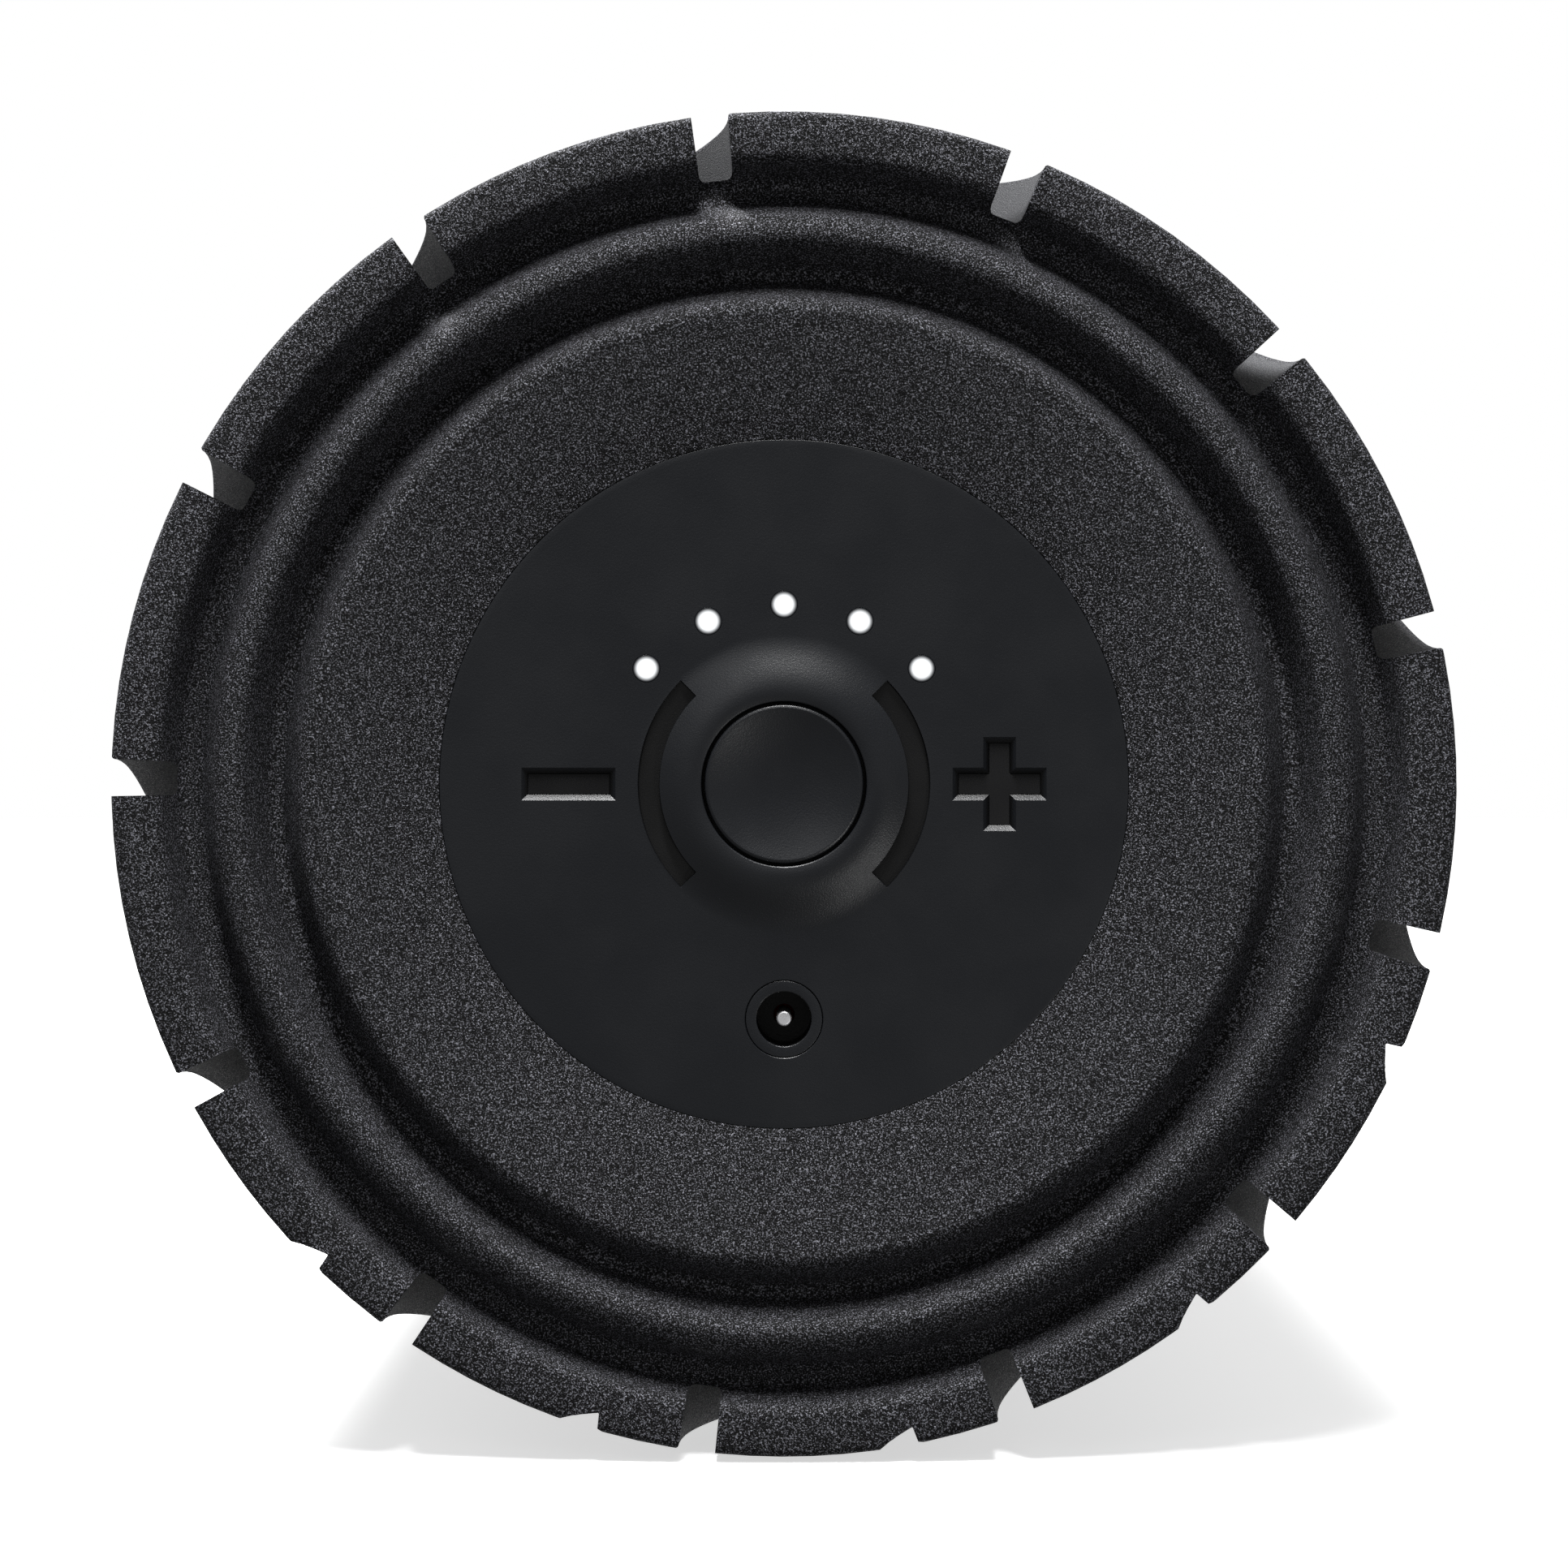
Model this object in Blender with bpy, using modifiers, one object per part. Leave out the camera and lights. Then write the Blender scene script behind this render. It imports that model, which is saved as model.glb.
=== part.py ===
"""A vibrating foam roller: a wave-grooved foam sleeve on a rigid core, with its controls in one end.

Metres, +Z up. The roller lies along Y, the control face looks towards -Y, and the origin is the
middle of its axis. A depth is measured inwards from the foremost plane of the nearer end, and an
angle is measured from +X towards +Z, anticlockwise as the control face is seen.
"""

import math

import bmesh
import bpy
from mathutils import Vector

MM = 0.001
GAP = 0.3 * MM  # left between pieces that touch

# The whole roller
LENGTH = 305 * MM
RADIUS = 63.5 * MM
ROUND_STEPS = 40
INNER_STEPS = 32

# Foam sleeve and its grooves
GROOVE_COUNT = 13
GROOVE_PITCH = 2 * math.pi / GROOVE_COUNT
FIRST_GROOVE = math.radians(13.3)
GROOVE_WIDTH = 3.6 * MM
GROOVE_FLOOR = 57.6 * MM
WAVE_SWING = math.radians(7)  # either way from the groove's mean line
WAVE_LENGTH = LENGTH / 2
WAVE_STATIONS = 17
SHALLOW_GROOVES = (8, 9, 10, 11, 12)  # the lands that also carry a shallow groove
SLEEVE_END = [  # (radius, depth) of the end contour in millimetres, from the bore outwards
    (48.5, 4.4), (49.3, 3.6), (50.9, 0.2), (53.1, 0.2), (54.9, 3.9), (56.4, 4.3), (57.8, 3.0),
    (58.9, 0.0), (62.8, 0.0), (63.5, 0.8),
]
PAD_END = [(48.2, 4.4), (47.3, 3.9), (46.0, 0.6), (44.9, 0.1), (32.9, 1.9)]
PAD_BACK_DEPTH = 8.0 * MM

# Rigid core and its end caps
CORE_RADIUS = 48.2 * MM
CORE_WALL = 3.0 * MM
CAP_DEPTH = 8.3 * MM
CAP_THICKNESS = 3.0 * MM
CAP_OPENING = 30.0 * MM
CAP_SCREW_CIRCLE = 41.3 * MM
CAP_SCREW_ANGLES = (math.radians(30), math.radians(150), math.radians(270))
CORE_DEPTH = CAP_DEPTH + CAP_THICKNESS + GAP
CORE_BORE = CORE_RADIUS - CORE_WALL
INSERT_RADIUS = CORE_BORE - GAP  # what slides into the core

# Control panel
PANEL_RADIUS = 32.6 * MM
PANEL_DEPTH = 2.0 * MM
PANEL_BACK_DEPTH = 4.4 * MM
PANEL_STEPS = 32
BUTTON_RADIUS = 7.5 * MM
BUTTON_GAP = 0.3 * MM
ARC_GROOVE = (11.8 * MM, 13.8 * MM)
KEY_OFFSET = 20.4 * MM
MARK_LENGTH = 8.9 * MM
MARK_WIDTH = 3.1 * MM
MARK_BEVEL = 0.55 * MM
KEY_CLEARANCE = 0.15 * MM
KEY_DEPTH = PANEL_DEPTH + 0.75 * MM
KEY_BACK_DEPTH = 5.7 * MM
LIGHT_CIRCLE = 17.0 * MM
LIGHT_ANGLES = [math.radians(a) for a in (140, 115, 90, 65, 40)]
LIGHT_RADIUS = 0.92 * MM
LIGHT_CLEARANCE = 0.15 * MM
JACK_DROP = 22.25 * MM
JACK_RADIUS = 3.55 * MM
JACK_BORE = 2.6 * MM
JACK_PIN = 0.73 * MM

# Control board behind the panel
BOARD_DEPTH = 10.6 * MM
BOARD_THICKNESS = 1.6 * MM
BOARD_RADIUS = 29.0 * MM
BOARD_SCREW_CIRCLE = 26.4 * MM
BOARD_SCREW_ANGLES = [math.radians(a) for a in (45, 135, 225, 315)]
SWITCH_TOP_DEPTH = 7.4 * MM
SWITCH_PLUNGER_DEPTH = 6.6 * MM

# Motor, along the roller's axis
CAN_RADIUS = 18.0 * MM
CAN_WALL = 1.8 * MM
CAN_HALF = 26.0 * MM
HUB_BORE = 6.3 * MM
HUB_RADIUS = 8.0 * MM
HUB_LENGTH = 4.0 * MM
SHAFT_RADIUS = 2.5 * MM
SHAFT_HALF = 48.0 * MM
WEIGHT_RADIUS = 16.0 * MM
WEIGHT_FROM = 34.0 * MM
WEIGHT_THICKNESS = 12.0 * MM
BULKHEAD_FROM = 16.0 * MM
BULKHEAD_THICKNESS = 4.0 * MM
ISOLATOR_RADIUS = 21.0 * MM
LEAD_HOLE = (-33.0 * MM, 2.0 * MM)
LEAD_HOLE_RADIUS = 3.0 * MM

# Battery pack behind the motor, main board ahead of it
CELL_RADIUS = 9.2 * MM
CELL_LENGTH = 65.0 * MM
CELL_START = 58.0 * MM
CELL_SPACING = 19.0 * MM
CELL_HEIGHT = -20.0 * MM
MAIN_BOARD_HEIGHT = -12.0 * MM
MAIN_BOARD_SPAN = (-126.0 * MM, -56.0 * MM)
MAIN_BOARD_HALF_WIDTH = 28.0 * MM


def front(depth):
    """Y of a depth behind the control end."""
    return -LENGTH / 2 + depth


def rear(depth):
    """Y of a depth inside the plain end."""
    return LENGTH / 2 - depth


def polar(radius, angle):
    """(x, z) of a point at a radius and an angle."""
    return radius * math.cos(angle), radius * math.sin(angle)


def arc(radius, start, end, steps):
    """Points (x, z) along an arc about the roller's axis."""
    return [polar(radius, start + (end - start) * i / steps) for i in range(steps + 1)]


def shifted(outline, x=0.0, z=0.0):
    """An outline moved sideways."""
    return [(px + x, pz + z) for px, pz in outline]


def rectangle(width, height):
    """A rectangle's outline about its centre."""
    return [(-width / 2, -height / 2), (width / 2, -height / 2), (width / 2, height / 2), (-width / 2, height / 2)]


def cross(span, arm):
    """A plus sign's outline about its centre."""
    long, short = span / 2, arm / 2
    quarter = [(long, -short), (long, short), (short, short)]
    outline = []
    for turn in range(4):
        c, s = round(math.cos(turn * math.pi / 2)), round(math.sin(turn * math.pi / 2))
        outline += [(x * c - z * s, x * s + z * c) for x, z in quarter]
    return outline


# ---------------------------------------------------------------- modelling helpers


def collection(name):
    """A new collection in the scene."""
    group = bpy.data.collections.new(name)
    bpy.context.scene.collection.children.link(group)
    return group


def material(name, color, roughness, metallic=0.0):
    """A Principled material."""
    made = bpy.data.materials.new(name)
    made.use_nodes = True
    shader = made.node_tree.nodes["Principled BSDF"]
    shader.inputs["Base Color"].default_value = (*color, 1.0)
    shader.inputs["Roughness"].default_value = roughness
    shader.inputs["Metallic"].default_value = metallic
    return made


def placed(name, mesh, look, location=(0, 0, 0)):
    """A part of the roller with its material, shaded smooth between its sharp edges."""
    mesh.shade_smooth()
    mesh.set_sharp_from_angle(angle=math.radians(35))
    mesh.materials.append(look)
    part = bpy.data.objects.new(name, mesh)
    part.location = location
    parts.objects.link(part)
    return part


def as_cutter(name, mesh, location=(0, 0, 0), group=None):
    """A guide for a Boolean, hidden from renders."""
    guide = bpy.data.objects.new(name, mesh)
    guide.location = location
    guide.hide_render = True
    guide.display_type = "WIRE"
    (group or cutters).objects.link(guide)
    return guide


def combine(part, other, operation="DIFFERENCE"):
    """Cut a part by another mesh, or join the two."""
    step = part.modifiers.new(f"{operation.lower()}_{other.name}", "BOOLEAN")
    step.operation = operation
    step.object = other


def profile_mesh(name, points, closed=True):
    """Edges through (radius, y) points in the half-plane at +X."""
    mesh = bpy.data.meshes.new(name)
    count = len(points)
    edges = [(i, (i + 1) % count) for i in range(count if closed else count - 1)]
    mesh.from_pydata([(r, y, 0) for r, y in points], edges, [])
    return mesh


def turn_about_y(part, steps):
    """Screw a profile round the roller's direction."""
    turn = part.modifiers.new("turn", "SCREW")
    turn.axis = "Y"
    turn.steps = turn.render_steps = steps
    turn.use_merge_vertices = True
    turn.merge_threshold = 0.00001
    turn.use_smooth_shade = True


def turned(name, points, look, steps=ROUND_STEPS, closed=True, location=(0, 0, 0)):
    """A turned part. Its profile's outer side runs from the plain end to the control end."""
    part = placed(name, profile_mesh(name, points, closed), look, location)
    turn_about_y(part, steps)
    return part


def solid_turned(name, points, look, steps=24, location=(0, 0, 0)):
    """A turned part without a bore, whose profile starts and ends on the axis."""
    return turned(name, points, look, steps, closed=False, location=location)


def rod_mesh(name, radius, start, end, steps):
    """A cylinder along Y."""
    bm = bmesh.new()
    bmesh.ops.create_cone(bm, cap_ends=True, segments=steps, radius1=radius, radius2=radius, depth=end - start)
    bmesh.ops.rotate(bm, verts=bm.verts, matrix=Y_FROM_Z)
    bmesh.ops.translate(bm, verts=bm.verts, vec=(0, (start + end) / 2, 0))
    return finished(name, bm)


def box_mesh(name, low, high):
    """A box between two corners."""
    low, high = Vector(low), Vector(high)
    bm = bmesh.new()
    bmesh.ops.create_cube(bm, size=1)
    bmesh.ops.scale(bm, verts=bm.verts, vec=high - low)
    bmesh.ops.translate(bm, verts=bm.verts, vec=(low + high) / 2)
    return finished(name, bm)


def extruded_mesh(name, stations):
    """A flat outline extruded along Y through stations, [(y, outline), ...], each of which may reshape it."""
    bm = bmesh.new()
    y, outline = stations[0]
    ring = [bm.verts.new((x, y, z)) for x, z in outline]
    cap = bm.faces.new(ring)
    for number, (y, outline) in enumerate(stations[1:]):
        made = bmesh.ops.extrude_face_region(bm, geom=[cap])["geom"]
        if number:
            bm.faces.remove(cap)  # only the first cap stays: the others are inside
        cap = next(item for item in made if isinstance(item, bmesh.types.BMFace))
        corners = [item for item in made if isinstance(item, bmesh.types.BMVert)]
        ring = [min(corners, key=lambda corner: (corner.co - old.co).length) for old in ring]
        for corner, (x, z) in zip(ring, outline):
            corner.co = (x, y, z)
    bmesh.ops.recalc_face_normals(bm, faces=bm.faces)
    return finished(name, bm)


def finished(name, bm):
    """A bmesh written to a new mesh."""
    mesh = bpy.data.meshes.new(name)
    bm.to_mesh(mesh)
    bm.free()
    return mesh


def drilled(part, name, radius, start, end, location, steps=16):
    """Drill a round hole along Y."""
    combine(part, as_cutter(name, rod_mesh(name, radius, start, end, steps), location))


def lead(name, route, radius, look):
    """An internal lead: a thin tube on a smooth curve through its route's points."""
    curve = bpy.data.curves.new(name, "CURVE")
    curve.dimensions = "3D"
    curve.bevel_depth = radius
    curve.bevel_resolution = 2
    curve.use_fill_caps = True
    spline = curve.splines.new("POLY")
    points = smooth_route(route)
    spline.points.add(len(points) - 1)
    for point, place in zip(spline.points, points):
        point.co = (*place, 1)
    curve.materials.append(look)
    part = bpy.data.objects.new(name, curve)
    parts.objects.link(part)


def smooth_route(route, per_span=3):
    """Points of a Catmull-Rom curve through a route given in millimetres."""
    places = [Vector(point) * MM for point in route]
    places = [2 * places[0] - places[1], *places, 2 * places[-1] - places[-2]]
    points = []
    for a, b, c, d in zip(places, places[1:], places[2:], places[3:]):
        for i in range(per_span):
            t = i / per_span
            points.append(
                (2 * b + (c - a) * t + (2 * a - 5 * b + 4 * c - d) * t**2 + (3 * b - a - 3 * c + d) * t**3) / 2
            )
    return [*points, places[-2]]


# ---------------------------------------------------------------- foam


def wave_angle(y):
    """How far a groove has turned at y: it starts at one crest at the control end."""
    return WAVE_SWING * (1 - math.cos(2 * math.pi * (y + LENGTH / 2) / WAVE_LENGTH))


def wave_cutter_mesh(name, outline):
    """A cutter of one section, [(angle, radius), ...], carried along the wave past both ends."""
    reach = LENGTH / 2 + 2 * MM
    stations = []
    for i in range(WAVE_STATIONS):
        y = -reach + 2 * reach * i / (WAVE_STATIONS - 1)
        stations.append((y, [polar(radius, angle + wave_angle(y)) for angle, radius in outline]))
    return extruded_mesh(name, stations)


def groove_section():
    """The deep groove's section: radial walls and a flat floor."""
    half = GROOVE_WIDTH / 2 / RADIUS
    beyond = RADIUS + 3 * MM
    return [(-half, beyond), (-half, GROOVE_FLOOR), (half, GROOVE_FLOOR), (half, beyond)]


def shallow_section():
    """The shallow groove's saw-tooth section: a long slope down to a short steep step."""
    beyond = RADIUS + 3 * MM
    slope = [(-12.6, beyond), (-12.2, RADIUS + 0.1 * MM), (-10.6, 62.45 * MM), (-9.0, 61.75 * MM)]
    return [(math.radians(angle), radius) for angle, radius in [*slope, (-8.3, beyond)]]


def end_profile(points, place):
    """(radius, y) of a contour given as (radius, depth) in millimetres, at the end that place measures from."""
    return [(radius * MM, place(depth * MM)) for radius, depth in points]


def make_foam(foam):
    """The sleeve with its grooves, and the soft pad in each end."""
    outline = end_profile(SLEEVE_END, rear) + end_profile(SLEEVE_END[::-1], front)
    sleeve = turned("foam_sleeve", outline, foam)
    grooves = collection("groove_cutters")
    deep = wave_cutter_mesh("deep_groove", groove_section())
    shallow = wave_cutter_mesh("shallow_groove", shallow_section())
    for number in range(GROOVE_COUNT):
        meshes = [("deep", deep)] + [("shallow", shallow)] * (number in SHALLOW_GROOVES)
        for kind, mesh in meshes:
            guide = as_cutter(f"{kind}_groove_{number + 1}", mesh, group=grooves)
            guide.rotation_euler.y = -(FIRST_GROOVE + number * GROOVE_PITCH)
    carve = sleeve.modifiers.new("carve_grooves", "BOOLEAN")
    carve.operand_type = "COLLECTION"
    carve.collection = grooves

    back = [(PAD_END[-1][0] * MM, PAD_BACK_DEPTH), (PAD_END[0][0] * MM, PAD_BACK_DEPTH)]
    for name, place, order in (("front_foam_pad", front, 1), ("rear_foam_pad", rear, -1)):
        loop = end_profile(PAD_END, place) + [(radius, place(depth)) for radius, depth in back]
        turned(name, loop[::order], foam, steps=INNER_STEPS)


# ---------------------------------------------------------------- core and caps


def screw(name, look, x, z, head_at, toward, head, shank):
    """A screw along Y: head and shank are (radius, length); toward is +1 when the tip points to +Y."""
    (head_radius, head_length), (shank_radius, shank_length) = head, shank
    reach = head_length + shank_length
    outline = [
        (0, 0), (head_radius, 0), (head_radius, head_length), (shank_radius, head_length),
        (shank_radius, reach - shank_radius), (0, reach),
    ]
    points = [(radius, head_at + toward * y) for radius, y in outline]
    solid_turned(name, points[::-toward], look, steps=10, location=(x, 0, z))


def make_core(plastic, steel):
    """The rigid tube that carries the foam, and the cap screwed to each end of it."""
    ends = (("front", front, 1), ("rear", rear, -1))
    tube = turned(
        "core_tube",
        [(CORE_BORE, rear(CORE_DEPTH)), (CORE_RADIUS, rear(CORE_DEPTH)),
         (CORE_RADIUS, front(CORE_DEPTH)), (CORE_BORE, front(CORE_DEPTH))],
        plastic, steps=INNER_STEPS,
    )
    ring_top = PANEL_BACK_DEPTH + GAP
    caps = {
        "front": [(CAP_OPENING, CAP_DEPTH + CAP_THICKNESS), (CAP_OPENING, CAP_DEPTH),
                  (CORE_RADIUS, CAP_DEPTH), (CORE_RADIUS, CAP_DEPTH + CAP_THICKNESS)],
        "rear": [(0, CAP_DEPTH + CAP_THICKNESS), (CORE_RADIUS, CAP_DEPTH + CAP_THICKNESS), (CORE_RADIUS, CAP_DEPTH),
                 (PANEL_RADIUS, CAP_DEPTH), (PANEL_RADIUS, ring_top), (CAP_OPENING, ring_top),
                 (CAP_OPENING, CAP_DEPTH), (0, CAP_DEPTH)],
    }
    for end, place, toward in ends:
        points = [(radius, place(depth)) for radius, depth in caps[end]]
        cap = turned(f"{end}_end_cap", points[::-1], plastic, steps=INNER_STEPS, closed=end == "front")
        for number, angle in enumerate(CAP_SCREW_ANGLES, 1):
            x, z = polar(CAP_SCREW_CIRCLE, angle)
            spot = (x, 0, z)
            boss_ends = sorted((place(CORE_DEPTH), place(CORE_DEPTH + 14 * MM)))
            boss = as_cutter(f"{end}_boss_{number}", rod_mesh("boss", 4.3 * MM, *boss_ends, 16), spot)
            combine(tube, boss, "UNION")
            pilot_ends = sorted((place(CORE_DEPTH - MM), place(CORE_DEPTH + 12 * MM)))
            drilled(tube, f"{end}_pilot_{number}", 1.5 * MM, *pilot_ends, spot, steps=12)
            through_ends = sorted((place(CAP_DEPTH - MM), place(CORE_DEPTH + MM)))
            drilled(cap, f"{end}_cap_hole_{number}", 1.5 * MM, *through_ends, spot, steps=12)
            seat_ends = sorted((place(CAP_DEPTH - MM), place(CAP_DEPTH + 1.9 * MM)))
            drilled(cap, f"{end}_cap_seat_{number}", 3.1 * MM, *seat_ends, spot)
            head_at = place(CAP_DEPTH + 0.1 * MM)
            screw(f"{end}_cap_screw_{number}", steel, x, z, head_at, toward,
                  (2.8 * MM, 1.5 * MM), (1.2 * MM, 11 * MM))
    outer = PANEL_RADIUS
    solid_turned(
        "rear_cover",
        [(0, rear(PANEL_DEPTH)), (outer - 0.5 * MM, rear(PANEL_DEPTH)), (outer, rear(PANEL_DEPTH + 0.5 * MM)),
         (outer, rear(PANEL_BACK_DEPTH)), (0, rear(PANEL_BACK_DEPTH))],
        plastic, steps=PANEL_STEPS,
    )


# ---------------------------------------------------------------- control panel


def minus_outline(grow=0.0):
    """The minus sign's recess, grown by a margin all round."""
    return shifted(rectangle(MARK_LENGTH + 2 * grow, MARK_WIDTH + 2 * grow), x=-KEY_OFFSET)


def plus_outline(grow=0.0):
    """The plus sign's recess, grown by a margin all round."""
    return shifted(cross(MARK_LENGTH + 2 * grow, MARK_WIDTH + 2 * grow), x=KEY_OFFSET)


def make_panel(plastic):
    """The round panel: a low mound round the button, two arc grooves, and openings for what it carries."""
    hole = (BUTTON_RADIUS + BUTTON_GAP) / MM
    mound = [(hole, 1.25), (8.8, 0.9), (10.6, 0.8), (12.6, 1.15), (14.6, 1.75), (16.8, 2.0)]
    rim = [(32.2, 2.0), (32.6, 2.4), (32.6, 8.0), (30.5, 8.0), (30.5, 4.4), (hole, 4.4)]
    panel = turned("control_panel", end_profile((mound + rim)[::-1], front), plastic, steps=PANEL_STEPS)
    ahead, behind = front(-MM), front(PANEL_BACK_DEPTH + MM)

    inner, outer = ARC_GROOVE
    for side, middle in (("right", 0.0), ("left", math.pi)):
        start, end = middle - math.pi / 4, middle + math.pi / 4
        outline = arc(inner, start, end, 10) + arc(outer, end, start, 10)
        groove = extruded_mesh(f"{side}_arc", [(ahead, outline), (front(2.6 * MM), outline)])
        combine(panel, as_cutter(f"{side}_arc_cutter", groove))

    for sign, outline in (("minus", minus_outline), ("plus", plus_outline)):
        wide, narrow = outline(MARK_BEVEL), outline(-MARK_BEVEL)
        stations = [
            (front(PANEL_DEPTH - MARK_BEVEL), wide), (front(PANEL_DEPTH + MARK_BEVEL), narrow), (behind, narrow),
        ]
        combine(panel, as_cutter(f"{sign}_window", extruded_mesh(f"{sign}_window", stations)))

    for number, angle in enumerate(LIGHT_ANGLES, 1):
        x, z = polar(LIGHT_CIRCLE, angle)
        drilled(panel, f"light_hole_{number}", LIGHT_RADIUS + LIGHT_CLEARANCE, ahead, behind, (x, 0, z))
    drilled(panel, "jack_hole", JACK_RADIUS + GAP, ahead, behind, (0, 0, -JACK_DROP), steps=24)

    post_ends = (front(PANEL_BACK_DEPTH - 0.5 * MM), front(BOARD_DEPTH - GAP))
    for number, angle in enumerate(BOARD_SCREW_ANGLES, 1):
        x, z = polar(BOARD_SCREW_CIRCLE, angle)
        post = as_cutter(f"post_{number}", rod_mesh("post", 2.3 * MM, *post_ends, 10), (x, 0, z))
        combine(panel, post, "UNION")
        drilled(panel, f"post_pilot_{number}", 1.2 * MM, front(6 * MM), front(BOARD_DEPTH), (x, 0, z), steps=10)


def make_controls(plastic):
    """The centre button and the minus and plus keys, each held behind the panel by a flange."""
    collar, back = PANEL_BACK_DEPTH + GAP, KEY_BACK_DEPTH
    outline = [
        (0, 1.95 * MM), (3.0 * MM, 1.78 * MM), (5.2 * MM, 1.43 * MM), (6.8 * MM, 1.05 * MM), (7.2 * MM, 1.0 * MM),
        (BUTTON_RADIUS, 1.25 * MM), (BUTTON_RADIUS, collar), (8.8 * MM, collar), (8.8 * MM, back), (0, back),
    ]
    points = [(radius, front(depth)) for radius, depth in outline]
    solid_turned("power_button", points[::-1], plastic, steps=28)

    for name, outline in (("minus_key", minus_outline), ("plus_key", plus_outline)):
        face = outline(-MARK_BEVEL - KEY_CLEARANCE)
        foot = outline(0.0)
        stations = [
            (front(KEY_DEPTH), face), (front(collar), face), (front(collar + 0.05 * MM), foot), (front(back), foot),
        ]
        placed(name, extruded_mesh(name, stations), plastic)


def make_light_guide(clear):
    """The clear bar behind the panel, with a post through each of its five holes."""
    half = 1.2 * MM
    start, end = LIGHT_ANGLES[-1] - 0.08, LIGHT_ANGLES[0] + 0.08
    outline = arc(LIGHT_CIRCLE - half, start, end, 10) + arc(LIGHT_CIRCLE + half, end, start, 10)
    bar = extruded_mesh("light_guide", [(front(5.2 * MM), outline), (front(7.0 * MM), outline)])
    guide = placed("light_guide", bar, clear)
    for number, angle in enumerate(LIGHT_ANGLES, 1):
        x, z = polar(LIGHT_CIRCLE, angle)
        post = rod_mesh("light_post", LIGHT_RADIUS, front(PANEL_DEPTH), front(9.0 * MM), 10)
        combine(guide, as_cutter(f"light_post_{number}", post, (x, 0, z)), "UNION")


def make_jack(plastic, chrome):
    """The charging inlet: a round socket with a pin standing in it."""
    spot = (0, 0, -JACK_DROP)
    flange = 4.7 * MM
    outline = [
        (JACK_BORE, PANEL_DEPTH + 0.35 * MM), (JACK_BORE + 0.3 * MM, PANEL_DEPTH + 0.05 * MM),
        (JACK_RADIUS - 0.2 * MM, PANEL_DEPTH + 0.05 * MM), (JACK_RADIUS, PANEL_DEPTH + 0.25 * MM),
        (JACK_RADIUS, flange), (4.8 * MM, flange), (4.8 * MM, 13.5 * MM), (JACK_PIN + GAP, 13.5 * MM),
        (JACK_PIN + GAP, 11.5 * MM), (JACK_BORE, 11.5 * MM),
    ]
    points = [(radius, front(depth)) for radius, depth in outline]
    turned("dc_jack", points[::-1], plastic, steps=24, location=spot)
    tip = PANEL_DEPTH + 1.2 * MM
    pin = [(0, tip), (JACK_PIN - 0.15 * MM, tip), (JACK_PIN, tip + 0.2 * MM), (JACK_PIN, 13.3 * MM), (0, 13.3 * MM)]
    solid_turned("jack_pin", [(radius, front(depth)) for radius, depth in pin[::-1]], chrome, steps=12, location=spot)


def make_control_board(board, dark, steel, light):
    """The round board with a switch behind each control and a light behind each post."""
    top, bottom = front(BOARD_DEPTH), front(BOARD_DEPTH + BOARD_THICKNESS)
    plate = solid_turned(
        "control_board", [(0, bottom), (BOARD_RADIUS, bottom), (BOARD_RADIUS, top), (0, top)], board, PANEL_STEPS
    )
    drilled(plate, "jack_clearance", 5.4 * MM, top - MM, bottom + MM, (0, 0, -JACK_DROP), steps=24)
    for number, angle in enumerate(BOARD_SCREW_ANGLES, 1):
        x, z = polar(BOARD_SCREW_CIRCLE, angle)
        drilled(plate, f"board_hole_{number}", 1.2 * MM, top - MM, bottom + MM, (x, 0, z), steps=12)
        screw(f"board_screw_{number}", steel, x, z, bottom + GAP + 1.3 * MM, -1,
              (2.0 * MM, 1.3 * MM), (0.9 * MM, 5.5 * MM))

    for name, x in (("power_switch", 0), ("minus_switch", -KEY_OFFSET), ("plus_switch", KEY_OFFSET)):
        low = (-3 * MM, front(SWITCH_TOP_DEPTH), -3 * MM)
        high = (3 * MM, front(BOARD_DEPTH - GAP), 3 * MM)
        switch = placed(name, box_mesh(name, low, high), dark, (x, 0, 0))
        plunger = rod_mesh("plunger", 1.5 * MM, front(SWITCH_PLUNGER_DEPTH), front(SWITCH_TOP_DEPTH + MM), 12)
        combine(switch, as_cutter(f"{name}_plunger", plunger, (x, 0, 0)), "UNION")

    for number, angle in enumerate(LIGHT_ANGLES, 1):
        x, z = polar(LIGHT_CIRCLE, angle)
        low = (-0.8 * MM, front(BOARD_DEPTH - GAP - 0.9 * MM), -0.8 * MM)
        high = (0.8 * MM, front(BOARD_DEPTH - GAP), 0.8 * MM)
        placed(f"led_{number}", box_mesh(f"led_{number}", low, high), light, (x, 0, z))


# ---------------------------------------------------------------- motor


def mirrored_ends(points, side):
    """A profile drawn for the +Y end, for that end or, with side -1, turned over to the other."""
    return [(radius, side * y) for radius, y in points][::side]


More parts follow.
